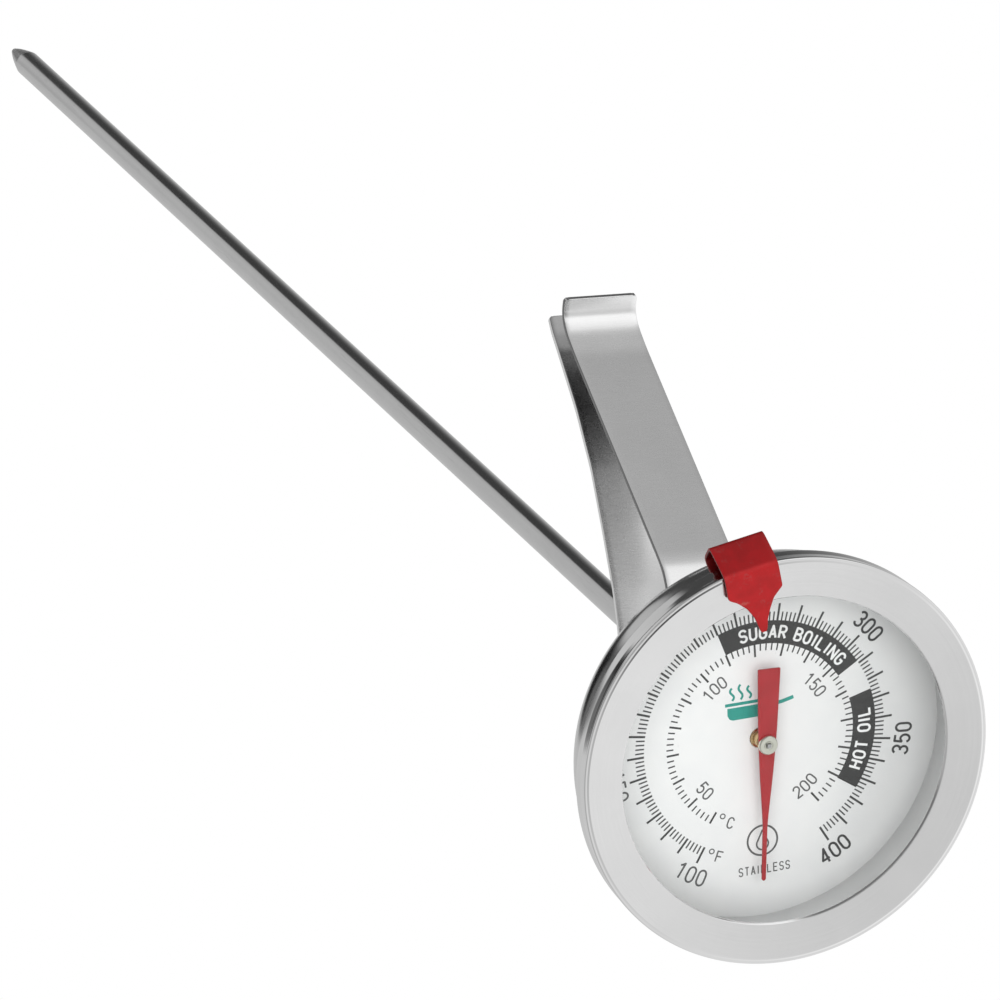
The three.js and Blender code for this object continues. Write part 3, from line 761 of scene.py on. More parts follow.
def stem():
    """Hollow tube with a swelling point and a fine groove above it."""
    bore_r, bore_end = 1.5, -302.4
    groove_r = STEM_R - 0.02
    tube_start = -302.0
    profile = [(0, Z_TIP), (0.36, Z_TIP, 0.12), (0.53, -309.82, 0.3)]
    profile += [(0.35 + (STEM_R - 0.35) * (rise / 6.7) ** 0.72, rise + Z_TIP)
                for rise in np.linspace(0.5, 6.7, 16)]
    profile += [(STEM_R, -303.28), (groove_r, -303.25), (groove_r, -303.21), (STEM_R, -303.18)]
    profile += [(STEM_R, tube_start + k * (-tube_start + Z_BACK) / 40) for k in range(41)]
    profile += [(STEM_R, Z_BACK + 1.72, 0.06), (STEM_R - 0.06, Z_BACK + 1.8),
                (bore_r, Z_BACK + 1.8), (bore_r, bore_end), (0, bore_end)]
    return lathe("stem", profile, STEM_STEEL, segments=96, steps=4)


rides(stem(), "case", "stem", "stem_tube", "stem_tip")

# Heights here are above the cup's back.
FERRULE = [
    (STEM_R + 0.02, -4.0, 0.05), (3.0, -4.0, 0.25), (3.4, -3.6, 0.25), (3.4, -1.35, 0.15),
    (3.25, -1.2, 0.1), (3.25, -1.0, 0.1), (3.5, -0.85, 0.1), (4.6, -0.8, 0.2), (4.6, 0.17, 0.1),
    (2.7, 0.17, 0.05), (2.7, 1.6, 0.1), (STEM_R + 0.02, 1.6, 0.1),
]
WASHER = [(2.75, 0.53, 0.1), (5.0, 0.53, 0.15), (5.0, 1.3, 0.15), (2.75, 1.3, 0.1)]


def above_back(profile):
    return [(radius, Z_BACK + z, round_r) for radius, z, round_r in profile]


rides(lathe("stem_ferrule", above_back(FERRULE), COLLAR_STEEL, segments=128, steps=4),
      "case", "stem", "stem_collar")
rides(lathe("ferrule_washer", above_back(WASHER), WASHER_STEEL, segments=96, steps=3),
      "case", "stem", "stem_washer")

# ---------------------------------------------------------------- movement
# The pieces with base=0 give their heights from the stem's point.

for name, z, node in (("guide_bush_mid", 180.0, "mid_guide_bush"),
                      ("guide_bush_low", 64.5, "lower_guide_bush")):
    profile = [(0.45, z - 1.5, 0.08), (1.48, z - 1.5, 0.2),
               (1.48, z + 1.5, 0.2), (0.45, z + 1.5, 0.08)]
    rides(lathe(name, profile, BRASS, segments=64, steps=3, base=0.0), "case", "bush", node)

COIL_FOOT = [(0, 7.8), (1.48, 7.8, 0.15), (1.48, 9.6, 0.15), (0.9, 9.8, 0.1),
             (0.9, 12.4, 0.15), (0, 12.4)]
rides(lathe("coil_foot", COIL_FOOT, WASHER_STEEL, segments=64, steps=3, base=0.0),
      "case", "stem", "coil_anchor")

COIL_SLEEVE = [(0.41, 57.6, 0.05), (0.92, 57.6, 0.12), (0.92, 60.6, 0.12), (0.41, 60.6, 0.05)]
rides(lathe("coil_sleeve", COIL_SLEEVE, BRASS, segments=64, steps=3, base=0.0),
      "movement", "bush", "coil_coupling")


def coil_strip():
    """flat strip wound in a helix between the foot and the sleeve"""
    radius, thick, width, edge = 1.15, 0.22, 1.5, 0.05
    z_start, z_end, turns, per_turn = 12.0, 58.0, 16, 40
    section = fillet([(-thick / 2, -width / 2, edge), (thick / 2, -width / 2, edge),
                      (thick / 2, width / 2, edge), (-thick / 2, width / 2, edge)],
                     steps=2, support=0.03)
    count = turns * per_turn
    verts, rows = [], []
    for i in range(count + 1):
        angle = 2 * math.pi * i / per_turn
        middle = z_start + (z_end - z_start) * i / count
        rows.append(add_row(verts, [((radius + out) * math.cos(angle),
                                     (radius + out) * math.sin(angle), middle + up)
                                    for out, up in section]))
    faces = skin(rows) + [tuple(rows[0]), tuple(rows[-1][::-1])]
    return build("coil_strip", verts, faces, BIMETAL, 30)


rides(coil_strip(), "case", "coil", "bimetal_coil")


def spindle_shaft():
    """round shaft with a squared, slightly chamfered top"""
    segments, radius, half_square = 32, 0.4, 0.3
    low, high = 62.0, 311.5

    def level(square, size, z):
        points = []
        for k in range(segments):
            angle = 2 * math.pi * (k + 0.5) / segments
            cos, sin = math.cos(angle), math.sin(angle)
            reach = size / max(abs(cos), abs(sin)) if square else size
            points.append((cos * reach, sin * reach))
        return [(x, y, z) for x, y in rotated(points, POINTER_ANGLE)]

    levels = [(False, 0.36, 56.8), (False, radius, 56.85), (False, radius, low)]
    levels += [(False, radius, low + k * (high - low) / 24) for k in range(1, 25)]
    levels += [(True, half_square, 311.62), (True, half_square, 313.32),
               (True, half_square - 0.07, 313.4)]
    verts = []
    rows = [add_row(verts, level(*entry)) for entry in levels]
    faces = skin(rows) + [tuple(rows[0][::-1]), tuple(rows[-1])]
    return build("spindle_shaft", verts, faces, SPINDLE_STEEL, 30)


rides(spindle_shaft(), "movement", "spindle", "spindle")

# (distance from the axis, half width) along the pointer, tail to tip
POINTER_OUTLINE = [
    (-10.5, 1.49), (-10.42, 1.56), (-2.5, 1.32), (2.0, 1.06), (4.0, 0.92),
    (10.0, 0.41), (11.5, 0.31), (18.85, 0.28), (19.05, 0.14),
]


def pointer_blade():
    """Stamped sheet with a soft rolled edge and a hole for the rivet."""
    z_low, z_high, edge = 2.35, 2.65, 0.06
    half = (z_high - z_low) / 2
    at, widths = zip(*POINTER_OUTLINE)
    stations = np.unique(np.concatenate([at, np.linspace(-10.4, 18.8, 90)]))
    half_widths = np.interp(stations, at, widths)
    first, last = stations[0], stations[-1]
    # (distance, half width, half height), with two smaller sections at each end
    sections = [(first, half_widths[0] - 0.06, half - 0.06),
                (first + 0.03, half_widths[0], half - 0.02)]
    sections += [(x, width, half) for x, width in zip(stations[1:-1], half_widths[1:-1])]
    sections += [(last - 0.03, half_widths[-1], half - 0.02),
                 (last, half_widths[-1] - 0.05, half - 0.06)]
    verts, rows = [], []
    for x, width, height in sections:
        rounding = min(edge, height * 0.9, width * 0.5)
        section = bar_section(width, width, height, rounding, cross=4)
        flat = rotated([(x, y) for y, _ in section], POINTER_ANGLE)
        rows.append(add_row(verts, [(px, py, Z_DIAL + (z_low + z_high) / 2 + z)
                                    for (px, py), (_, z) in zip(flat, section)]))
    faces = skin(rows) + [tuple(rows[0][::-1]), tuple(rows[-1])]
    blade = build("pointer_blade", verts, faces, POINTER_RED, 35)
    hole = prism(arc(0, 0, 0.62, 0, 345, 23), Z_DIAL + 1.5, Z_DIAL + 3.6)
    cut(blade, 35, build("pointer_hole", *hole, POINTER_RED))
    return blade


rides(pointer_blade(), "movement", "pointer", "pointer")

RIVET = [
    (0, 1.75), (0.95, 1.75, 0.1), (0.95, 2.33, 0.05), (0.58, 2.33, 0.02), (0.58, 2.67, 0.02),
    (1.3, 2.67, 0.06), (1.3, 3.02, 0.12), (1.16, 3.14, 0.12), (0.62, 3.12, 0.1),
    (0.52, 3.06, 0.06), (0, 3.06),
]


def pointer_rivet():
    """flanged rivet with a square hole for the spindle"""
    rivet = lathe("pointer_rivet", RIVET, HUB_ALLOY, segments=96, steps=4)
    half = 0.34
    square = rotated([(-half, -half), (half, -half), (half, half), (-half, half)],
                     POINTER_ANGLE)
    hole = prism(square, Z_DIAL + 1.0, Z_DIAL + 5.0)
    cut(rivet, 28, build("rivet_square", *hole, HUB_ALLOY))
    return rivet


rides(pointer_rivet(), "movement", "hub", "pointer_hub")

# ---------------------------------------------------------------- print helpers
# Print is gathered as lists of flat convex pieces, then merged by union_mesh().

Lettering = namedtuple("Lettering", "height advance width stroke")
OUT, IN = 1, -1  # which way the tops of letters round the dial point


def glyphs(wide):
    """Strokes of each glyph in a box of the given width and height 1."""
    half = wide / 2
    upper = oval(half, 0.70, half, 0.30, 0, 180, 10)
    ring = upper + oval(half, 0.30, half, 0.30, 180, 360, 10)
    ring = ring + [ring[0]]
    hook = oval(half, 0.70, half, 0.30, 12, 180, 10)
    return {
        "0": [ring],
        "O": [ring],
        "1": [[(0.12 * wide, 0.80), (0.34 * wide, 0.86), (0.62 * wide, 1.0), (0.62 * wide, 0.0)]],
        "2": [oval(half, 0.72, half, 0.28, 168, -28, 12) + [(0.0, 0.0), (wide, 0.0)]],
        "3": [oval(half, 0.755, half * 0.94, 0.245, 160, -78, 11) + [(0.42 * wide, 0.515)],
              [(0.42 * wide, 0.515)] + oval(half, 0.26, half, 0.26, 75, -160, 12)],
        "4": [[(0.74 * wide, 0.0), (0.74 * wide, 1.0), (0.0, 0.28), (wide, 0.28)]],
        "5": [[(0.92 * wide, 1.0), (0.14 * wide, 1.0), (0.06 * wide, 0.52)]
              + oval(half, 0.31, half, 0.31, 138, -155, 14)],
        "A": [[(0, 0), (half, 1), (wide, 0)], [(0.17 * wide, 0.32), (0.83 * wide, 0.32)]],
        "B": [[(0, 0), (0, 1), (0.5 * wide, 1)]
              + oval(0.5 * wide, 0.76, 0.44 * wide, 0.24, 80, -90, 8) + [(0, 0.52)],
              [(0.5 * wide, 0.52)] + oval(0.5 * wide, 0.26, 0.5 * wide, 0.26, 80, -90, 8)
              + [(0, 0)]],
        "C": [hook + oval(half, 0.30, half, 0.30, 180, 348, 10)],
        "E": [[(wide, 1), (0, 1), (0, 0), (wide, 0)], [(0, 0.52), (0.85 * wide, 0.52)]],
        "F": [[(wide, 1), (0, 1), (0, 0)], [(0, 0.52), (0.85 * wide, 0.52)]],
        "G": [hook + oval(half, 0.30, half, 0.30, 180, 360, 10)
              + [(wide, 0.46), (0.52 * wide, 0.46)]],
        "H": [[(0, 0), (0, 1)], [(wide, 0), (wide, 1)], [(0, 0.52), (wide, 0.52)]],
        "I": [[(0, 0), (0, 1)]],
        "L": [[(0, 1), (0, 0), (wide, 0)]],
        "N": [[(0, 0), (0, 1), (wide, 0), (wide, 1)]],
        "R": [[(0, 0), (0, 1), (0.5 * wide, 1)]
              + oval(0.5 * wide, 0.74, 0.5 * wide, 0.26, 80, -90, 8) + [(0, 0.48)],
              [(0.5 * wide, 0.48), (wide, 0)]],
        "S": [oval(half, 0.745, half, 0.255, 15, 262, 14)
              + oval(half, 0.25, half, 0.25, 82, -165, 14)],
        "T": [[(0, 1), (wide, 1)], [(half, 1), (half, 0)]],
        "U": [[(0, 1), (0, 0.3)] + oval(half, 0.30, half, 0.30, 180, 360, 12) + [(wide, 1)]],
        " ": [],
    }


def stroke_polys(path, width):
    """Convex pieces that cover a stroke along a path: a bar for each segment
    and a dot at each joint."""
    out = []
    points = [np.array(p, float) for p in path]
    closed = np.linalg.norm(points[0] - points[-1]) < 1e-6
    for a, b in zip(points[:-1], points[1:]):
        run = b - a
        length = np.linalg.norm(run)
        if length < 1e-6:
            continue
        side = np.array([-run[1], run[0]]) / length * width / 2
        out.append([tuple(a - side), tuple(b - side), tuple(b + side), tuple(a + side)])
    angles = [2 * math.pi * k / 12 + 0.13 for k in range(12)]
    for x, y in points[1:-1] + ([points[0]] if closed else []):
        out.append([(x + width / 2 * math.cos(a), y + width / 2 * math.sin(a)) for a in angles])
    return out


def text_polys(text, style, place):
    """place(offset, x, y) maps a glyph's own millimetres to the dial."""
    out = []
    tall = style.height - style.stroke
    table = glyphs(style.width / tall)
    for offset, char in zip(offsets(text, style), text):
        wide = 0.0 if char == "I" else style.width / tall
        for path in table[char]:
            scaled = [((x - wide / 2) * tall, (y - 0.5) * tall) for x, y in path]
            for poly in stroke_polys(scaled, style.stroke):
                out.append([place(offset, x, y) for x, y in poly])
    return out


def offsets(text, style):
    """middle of each character along the line, with narrow I and space"""
    middles, start = [], 0.0
    gap = style.advance - style.width
    for char in text:
        wide = {"I": gap * 0.55, " ": style.width * 0.45}.get(char, style.width)
        middles.append(start + wide / 2)
        start += wide + gap
    centre = (start - gap) / 2
    return [middle - centre for middle in middles]


def arc_text(text, radius, centre_deg, style, tops):
    """Text round the dial. OUT reads clockwise, IN reads anticlockwise."""

    def place(offset, x, y):
        angle = math.radians(centre_deg - tops * math.degrees(offset / radius))
        cos, sin = math.cos(angle), math.sin(angle)
        up, right = (tops * cos, tops * sin), (tops * sin, -tops * cos)
        return (radius * cos + right[0] * x + up[0] * y,
                radius * sin + right[1] * x + up[1] * y)

    return text_polys(text, style, place)


def line_text(text, cx, cy, style, slope=0.0):
    cos, sin = math.cos(math.radians(slope)), math.sin(math.radians(slope))

    def place(offset, x, y):
        x = x + offset
        return (cx + x * cos - y * sin, cy + x * sin + y * cos)

    return text_polys(text, style, place)


def union_mesh(name, polys, z_low, z_high, material):
    """One closed mesh over the union of flat convex pieces, between two heights
    above the dial, with no faces inside."""
    verts, pieces = [], []
    for poly in polys:
        area = sum(x0 * y1 - x1 * y0 for (x0, y0), (x1, y1) in zip(poly, poly[1:] + poly[:1]))
        if abs(area) < 1e-7:
            continue
        if area < 0:
            poly = poly[::-1]
        pieces.append(add_row(verts, [Vector((float(x), float(y))) for x, y in poly]))
    flat, _, triangles, *_ = delaunay_2d_cdt(verts, [], pieces, 0, 2e-4, True)
    # keep the triangles whose middle lies in one of the pieces
    middles = np.array([np.mean([flat[i][:] for i in tri], axis=0) for tri in triangles])
    inside = np.zeros(len(triangles), bool)
    for piece in pieces:
        corners = np.array([verts[i][:] for i in piece])
        boxed = np.all((middles >= corners.min(0)) & (middles <= corners.max(0)), axis=1)
        near = np.where(boxed & ~inside)[0]
        if len(near) == 0:
            continue
        hit = np.ones(len(near), bool)
        for a, b in zip(corners, np.roll(corners, -1, axis=0)):
            hit &= ((b[0] - a[0]) * (middles[near, 1] - a[1])
                    - (b[1] - a[1]) * (middles[near, 0] - a[0])) >= -1e-9
        inside[near[hit]] = True
    kept = [tri for tri, good in zip(triangles, inside) if good]
    used = sorted({i for tri in kept for i in tri})
    index = {old: new for new, old in enumerate(used)}
    count = len(used)
    points = [(flat[i][0], flat[i][1], Z_DIAL + z) for z in (z_high, z_low) for i in used]
    faces, edges = [], {}
    for tri in kept:
        top = [index[i] for i in tri]
        faces.append(tuple(top))
        faces.append(tuple(count + i for i in reversed(top)))
        for edge in zip(top, top[1:] + top[:1]):
            edges[edge] = True
    # walls where an edge has no neighbour
    for a, b in edges:
        if (b, a) not in edges:
            faces.append((a, count + a, count + b, b))
    return build(name, points, faces, material, 20)


def ring_sector(inner, outer, start, end):
    """pieces of about 1.5 degrees"""
    count = max(1, int(abs(end - start) / 1.5))
    out = []
    for k in range(count):
        a, b = (math.radians(start + (end - start) * (k + j) / count) for j in (0, 1))
        out.append([(inner * math.cos(a), inner * math.sin(a)),
                    (outer * math.cos(a), outer * math.sin(a)),
                    (outer * math.cos(b), outer * math.sin(b)),
                    (inner * math.cos(b), inner * math.sin(b))])
    return out


def tick(degrees, inner, outer, width):
    angle = math.radians(degrees)
    along = np.array([math.cos(angle), math.sin(angle)])
    side = np.array([-math.sin(angle), math.cos(angle)]) * width / 2
    return [tuple(along * inner - side), tuple(along * outer - side),
            tuple(along * outer + side), tuple(along * inner + side)]


def deg_of_f(fahrenheit):
    return 90.0 + SCALE_TOP_F - fahrenheit


def deg_of_c(celsius):
    return deg_of_f(1.8 * celsius + 32)


# ---------------------------------------------------------------- dial print

INK_Z = 0.022
BAND_INNER, BAND_OUTER = 13.05, 16.2  # the two scales stand on its edges
F_RADIUS, C_RADIUS, WORD_RADIUS = 20.25, 9.95, 14.62

F_BOLD = Lettering(height=2.42, advance=1.58, width=1.04, stroke=0.32)
F_LIGHT = Lettering(height=2.40, advance=1.60, width=1.05, stroke=0.26)
C_DIGITS = Lettering(height=1.85, advance=1.25, width=0.82, stroke=0.215)
UNITS = Lettering(height=1.65, advance=1.0, width=0.78, stroke=0.19)
WORDS = Lettering(height=1.94, advance=1.40, width=0.88, stroke=0.315)
SMALL = Lettering(height=1.28, advance=0.86, width=0.50, stroke=0.155)


def scale_marks():
    """graduations of both scales and the bold °F numbers"""
    out = []
    for value in range(100, 402, 2):
        outer, width = (18.54, 0.29) if value % 10 == 0 else (17.4, 0.195)
        out.append(tick(deg_of_f(value), BAND_OUTER, outer, width))
    for value in range(40, 202, 2):
        inner, width = (11.35, 0.27) if value % 10 == 0 else (12.1, 0.19)
        out.append(tick(deg_of_c(value), inner, BAND_INNER, width))
    for value, tops in ((300, OUT), (350, IN), (400, IN)):
        out += arc_text(str(value), F_RADIUS, deg_of_f(value), F_BOLD, tops)
    return out


def light_numbers():
    """the other numbers, and °F and °C beside the first graduations"""
    out = []
    for value, tops in ((100, IN), (150, IN), (200, OUT), (250, OUT)):
        out += arc_text(str(value), F_RADIUS, deg_of_f(value), F_LIGHT, tops)
    for value, tops in ((50, IN), (100, OUT), (150, OUT), (200, IN)):
        out += arc_text(str(value), C_RADIUS, deg_of_c(value), C_DIGITS, tops)
    for letter, x, y in (("F", -6.11, -15.74), ("C", -4.39, -11.25)):
        slope = math.degrees(math.atan2(y, x)) + 90
        out += line_text(letter, x, y, UNITS, slope)
    for x, y in ((-7.11, -14.80), (-5.46, -10.14)):
        ring = oval(0, 0, 0.33, 0.33, 0, 360, 18)
        out += stroke_polys([(x + dx, y + dy) for dx, dy in ring], 0.15)
    return out


def bands():
    return (ring_sector(BAND_INNER, BAND_OUTER, deg_of_f(230), deg_of_f(308.6))
            + ring_sector(BAND_INNER, BAND_OUTER, deg_of_f(324.8), deg_of_f(375)))


def band_words():
    return (arc_text("SUGAR BOILING", WORD_RADIUS, 68.3, WORDS, OUT)
            + arc_text("HOT OIL", WORD_RADIUS, -10.0, WORDS, IN))


def saucepan():
    """emblem above the centre: a saucepan with steam"""
    out = [[(-4.45, 4.75), (-4.45, 3.75), (-4.2, 3.25), (-3.75, 3.02),
            (1.4, 3.02), (1.85, 3.25), (2.1, 3.75), (2.1, 4.75)]]
    out += stroke_polys([(-4.75, 5.22), (2.4, 5.22)], 0.42)               # lid
    out += stroke_polys([(2.1, 4.45), (3.3, 4.6), (4.8, 4.95)], 0.50)     # handle
    for middle, rise in ((-3.75, 1.75), (-2.55, 2.1), (-1.35, 1.75)):     # steam
        out += stroke_polys([(middle + 0.26 * math.sin(2 * math.pi * k / 16),
                              5.78 + rise * k / 16) for k in range(17)], 0.30)
    return out


def drop_mark():
    """mark below the centre: a plain ring with a drop, over a word"""
    out = stroke_polys(oval(0.0, -14.45, 2.08, 2.08, 0, 360, 56), 0.26)
    point = [(0.0, -13.05)]
    out += stroke_polys(point + oval(0.0, -14.95, 0.82, 0.82, 35, -215, 20) + point, 0.22)
    return out + line_text("STAINLESS", 0.17, -18.5, SMALL)


for name, polys, z_low, z_high, material in (
    ("dial_graduations", scale_marks(), 0.0, INK_Z, BLACK_INK),
    ("dial_numbers", light_numbers(), 0.0, INK_Z, GREY_INK),
    ("dial_bands", bands(), 0.001, INK_Z + 0.004, BAND_INK),
    ("band_words", band_words(), INK_Z + 0.006, INK_Z + 0.022, WORD_INK),
    ("dial_emblem", saucepan(), 0.0, INK_Z, TEAL_INK),
    ("dial_mark", drop_mark(), 0.0, INK_Z, GREY_INK),
):
    rides(union_mesh(name, polys, z_low, z_high, material), "case", "dial")

# ---------------------------------------------------------------- marker

MARKER_THICK = 0.45
MARKER_Z = 9.9 - MARKER_THICK / 2
# centre line (outward, z): over the bezel, round the rim and in under it
MARKER_LINE = [
    (19.05, MARKER_Z), (26.9, MARKER_Z), (27.55, MARKER_Z - 0.04), (28.03, 9.44), (28.68, 8.70),
    (30.38, 6.37), (30.6, 5.95), (30.6, 5.6), (30.42, 5.36), (29.46, 4.26), (28.7, 3.42),
    (28.3, 3.2), (27.9, 3.28), (27.28, 3.82), (26.78, 4.5), (26.58, 5.35),
]
# (outward, half width) of the pointed end on each side
MARKER_RIGHT = [(19.0, 0.30), (19.12, 0.58), (19.5, 0.74), (20.54, 0.93), (21.97, 1.55),
                (23.36, 2.34), (24.2, 3.35), (24.50, 3.75)]
MARKER_LEFT = [(19.0, 0.12), (19.3, 0.30), (20.3, 0.52), (21.28, 0.73), (22.83, 1.52),
               (24.1, 2.71), (24.62, 3.55), (24.80, 3.75)]


def rim_marker():
    fine = smooth_line(MARKER_LINE, sigma=0.22, spacing=0.05)
    total = distances(fine)[-1]
    along = np.linspace(0, total, max(2, int(round(total / 0.14))) + 1)
    line = points_at(fine, along)

    def edge_of(table):
        """half widths from a table; full width beyond the pointed end"""
        out = np.where(along < 8.0, line[:, 0], 40.0)
        widths = np.interp(out, *zip(*table))
        kernel = np.array([1, 4, 6, 4, 1]) / 16.0
        return np.convolve(np.pad(widths, 2, mode="edge"), kernel, "valid")

    mesh = strip_mesh(line, edge_of(MARKER_LEFT), edge_of(MARKER_RIGHT), thick=MARKER_THICK,
                      edge=0.07, turn=MARKER_TURN, cross=10)
    return build("rim_marker", *mesh, MARKER_RED, 35)


rides(rim_marker(), "marker", "marker", "marker_clip")

# ---------------------------------------------------------------- pan clip

# centre line (outward, z): front leaf from its curled lip, bend, rear leaf
CLIP_LINE = [
    (39.85, -63.60), (38.4, -63.92), (37.3, -63.8), (36.2, -63.2), (35.2, -61.95),
    (33.4, -58.9), (16.2, -25.4), (15.2, -23.8), (13.6, -22.4), (0, -13.2), (-3.6, -11.0),
    (-5.6, -10.5), (-7.3, -11.3), (-8.4, -13.3), (-8.9, -16.5), (-8.9, -22.5), (-8.9, -27.5),
    (-8.4, -31.5), (-6.9, -34.6), (-4.4, -36.4), (-1.2, -37.1), (1.56, -37.8), (6.55, -40.5),
    (13.3, -45.4), (20.0, -50.6), (26.25, -57.2), (32.1, -65.0), (33.9, -67.5), (35.5, -68.95),
]
CLIP_HALF_WIDTH = 5.2
CLIP_CORNER = 0.55
CLIP_HOLE_R = 2.15
# closer stations at both free ends, for the rounded corners
END_STATIONS = [0.0, 0.06, 0.14, 0.24, 0.36, 0.5, 0.66, 0.85, 1.1]


def clip_half_width(along, total):
    depth = min(along, total - along)
    if depth >= CLIP_CORNER:
        return CLIP_HALF_WIDTH
    rise = math.sqrt(max(0.0, CLIP_CORNER ** 2 - (CLIP_CORNER - depth) ** 2))
    return CLIP_HALF_WIDTH - (CLIP_CORNER - rise)


def pan_clip():
    """bent strip with a round hole in the front leaf and a slot in the rear one"""
    fine = smooth_line(CLIP_LINE, sigma=0.65, spacing=0.1)
    total = distances(fine)[-1]
    stations = np.array(END_STATIONS + list(np.arange(1.5, total - 1.4, 0.42))
                        + [total - x for x in END_STATIONS[::-1]])
    half = np.array([clip_half_width(along, total) for along in stations])
    mesh = strip_mesh(points_at(fine, stations), half, half, thick=0.7, edge=0.10,
                      turn=CLIP_TURN, cross=14)
    clip = build("pan_clip", *mesh, CLIP_STEEL, 35)
    hole = prism(arc(0, 0, CLIP_HOLE_R, 0, 352.5, 47), Z_DIAL - 20, Z_DIAL - 4)
    front = build("hole_front", *hole, CLIP_STEEL)
    outline = (arc(0, 2.0, CLIP_HOLE_R, 0, 180, 24) + arc(0, -0.2, CLIP_HOLE_R, 180, 360, 24))
    slot = prism(rotated(outline, CLIP_TURN), Z_DIAL - 50, Z_DIAL - 32)
    cut(clip, 35, front, build("hole_rear", *slot, CLIP_STEEL))
    return clip


clip = pan_clip()
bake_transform(clip)
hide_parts("clip_front_leaf", "clip_rear_leaf")

# ---------------------------------------------------------------- stage
# Metres from here on.


def stage_object(name, verts, faces):
    obj = bpy.data.objects.new(name, bpy.data.meshes.new(name))
    obj.data.from_pydata(verts, [], faces)
    bpy.context.scene.collection.objects.link(obj)
    return obj


def hide_from(obj, *rays):
    for ray in rays:
        setattr(obj, "visible_" + ray, False)


def pale_floor():
    """glowing white from above, clear from below, seen only by the camera"""
    half, z = 9, -0.42
    floor = stage_object("floor", [(-half, -half, z), (half, -half, z), (half, half, z),
                                   (-half, half, z)], [(0, 1, 2, 3)])
    material = bpy.data.materials.new("floor_pale")
    tree = Tree(material)
    geometry = tree.node("ShaderNodeNewGeometry")
    glow = tree.node("ShaderNodeEmission", (1, 1, 1, 1), 1.0)
    through = tree.node("ShaderNodeBsdfTransparent")
    tree.finish(tree.mix_shader(geometry.outputs["Backfacing"], glow, through))
    floor.data.materials.append(material)
    hide_from(floor, "diffuse", "glossy", "transmission", "shadow")


def dark_card():
    """A dark oval under the dial on the -x side, with soft edges, seen only in
    the steel."""
    verts, faces = prism(arc(0, 0, 1, 0, 350, 35), 0.0, 1.0)
    half_x, half_y, thick = 0.025, 0.022, 0.0004
    fade_x, fade_y = 0.024, 0.021
    card = stage_object("card", [(x * half_x, y * half_y, z * thick) for x, y, z in verts],
                        faces)
    card.location = (-0.0430, 0.0125, 0.275)
    material = bpy.data.materials.new("card_dark")
    tree = Tree(material)
    x, y, _ = tree.xyz(tree.node("ShaderNodeTexCoord").outputs["Object"])
    x, y = x * (1 / fade_x), y * (1 / fade_y)
    cover = tree.step(x * x + y * y, 0.92, 0.10)
    tone = tree.lerp(tree.step(x, -0.02, 0.24), 0.17, 0.012)
    glow = tree.node("ShaderNodeEmission", tree.vec(tone, tone, tone))
    clear = tree.node("ShaderNodeBsdfTransparent")
    tree.finish(tree.mix_shader(cover, clear, glow))
    card.data.materials.append(material)
    hide_from(card, "camera", "diffuse", "transmission", "shadow")


def azimuth_from(tree, x, y, centre):
    """azimuth in degrees, measured from centre, -180 to 180"""
    cos, sin = math.cos(math.radians(centre)), math.sin(math.radians(centre))
    across = y * cos - x * sin
    return tree.math("ARCTAN2", across, sideways(x, y, centre)) * (180 / math.pi)


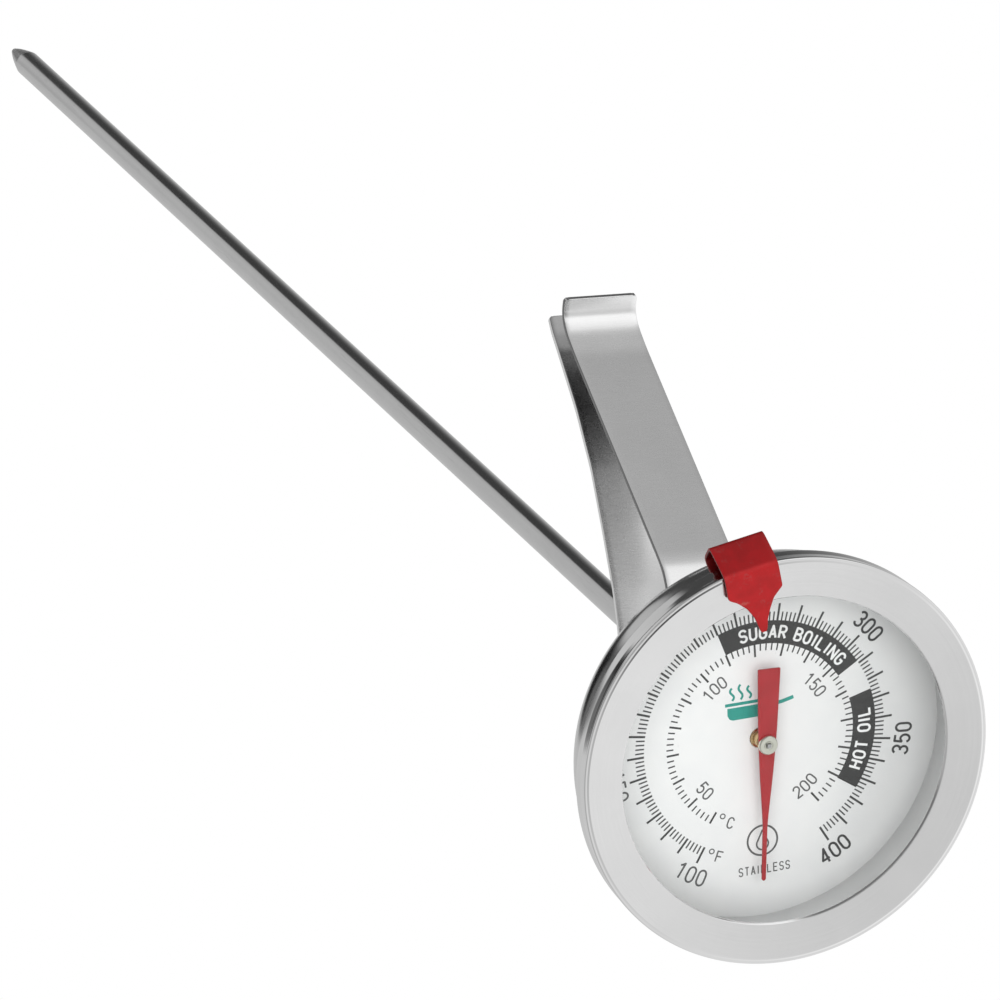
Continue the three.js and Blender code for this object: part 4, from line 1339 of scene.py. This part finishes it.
def studio_world():
    """A white tent, brighter above, with darker and brighter patches laid over
    it by azimuth and by z, the height of the direction. White to the camera."""
    world = bpy.data.worlds.new("studio")
    bpy.context.scene.world = world
    tree = Tree(world)
    step, band, lerp = tree.step, tree.band, tree.lerp
    x, y, z = tree.xyz(tree.node("ShaderNodeTexCoord").outputs["Generated"])
    box_azimuth = azimuth_from(tree, x, y, 60.0)
    flag_azimuth = azimuth_from(tree, x, y, 80.0)
    belt_azimuth = azimuth_from(tree, x, y, 128.0)
    # overhead: brightest towards +x and -y, falling away over the zenith
    up = 0.765 + ((x - 0.31) * 0.463 + (y + 0.36) * -0.287)
    up = tree.math("MAXIMUM", tree.math("MINIMUM", up, 0.95), 0.42)
    level = lerp(step(z, -0.1, 0.25), 0.62, up)
    # grey below the horizon on the +y side
    grey_side = band(azimuth_from(tree, x, y, 70.0), -75.0, -30.0, 30.0, 75.0)
    level = lerp(grey_side * step(z, 0.08, -0.12), level, 0.52)
    # dark belt towards -x and +y, and the opening above it
    belt = band(belt_azimuth, -54.0, -42.0, 40.0, 56.0) * band(z, -0.02, 0.12, 0.60, 0.74)
    level = lerp(belt, level, 0.20)
    opening = band(belt_azimuth, -60.0, -30.0, 30.0, 60.0) * band(z, 0.72, 0.83, 0.91, 0.955)
    level = lerp(opening, level, 0.80)
    # dark gap nearly overhead
    gap_radius = tree.radius(x - 0.05, y - 0.06)
    gap = step(gap_radius, 0.34, 0.03) * step(z, 0.7, 0.85)
    level = level * (1.0 - gap * 0.80)
    # soft box on the +y side
    box = band(box_azimuth, -36.0, -22.0, 8.0, 20.0) * band(z, -0.02, 0.12, 0.84, 0.92)
    level = lerp(box, level, 1.04)
    # low dark flag on the +y side, sharper at its -x end
    flag = band(flag_azimuth, -118.0, -14.0, 23.0, 33.0) * step(z, -0.12, -0.62)
    level = lerp(flag * 0.90, level, 0.012)
    # dark oval straight below
    oval_x, oval_y = (x + 0.15) * (1 / 0.24), y * (1 / 0.17)
    below = step(oval_x * oval_x + oval_y * oval_y, 1.35, 0.45) * step(z, -0.6, -0.8)
    level = lerp(below * 0.95, level, 0.03)
    path = tree.node("ShaderNodeLightPath")
    # what lights matt surfaces: dimmer, and dimmest from low on the +y side
    soft = 0.50 + (y * -0.16 + z * 0.10)
    level = lerp(path.outputs["Is Diffuse Ray"], level, soft)
    level = lerp(path.outputs["Is Camera Ray"], level, 1.0)
    world.cycles.sampling_method = "NONE"
    sky = tree.node("ShaderNodeBackground", tree.vec(level, level, level), 1.0)
    tree.finish(sky, "World")


def area_light(name, location, target, size, power):
    data = bpy.data.lights.new(name, "AREA")
    data.shape = "DISK"
    data.size = size
    data.energy = power
    light = bpy.data.objects.new(name, data)
    bpy.context.scene.collection.objects.link(light)
    light.location = location
    light.rotation_mode = "QUATERNION"
    aim = Vector(target) - Vector(location)
    light.rotation_quaternion = aim.to_track_quat("-Z", "Y")
    hide_from(light, "camera", "glossy", "transmission")


def add_camera():
    """long lens from above, on the -x and +y side of the dial"""
    data = bpy.data.cameras.new("camera")
    data.sensor_width = 36.0
    data.lens = 391.443
    data.shift_x = 0.04905
    data.shift_y = 0.03501
    data.clip_start = 0.05
    data.clip_end = 60.0
    camera = bpy.data.objects.new("camera", data)
    bpy.context.scene.collection.objects.link(camera)
    # columns: right, up, backwards, place
    camera.matrix_world = Matrix((
        (0.93698791, 0.15363273, -0.31376845, -0.477147),
        (-0.03242184, 0.93248196, 0.35975855, 0.534430),
        (0.34785411, -0.32691646, 0.87870538, 1.529586),
        (0, 0, 0, 1),
    ))
    bpy.context.scene.camera = camera


pale_floor()
dark_card()
studio_world()
area_light("key", location=(-0.46, 0.53, 1.75), target=(0, 0, 0.31), size=1.8, power=24.5)
add_camera()
bpy.context.scene.view_settings.view_transform = "Standard"
bpy.context.scene.view_settings.look = "None"
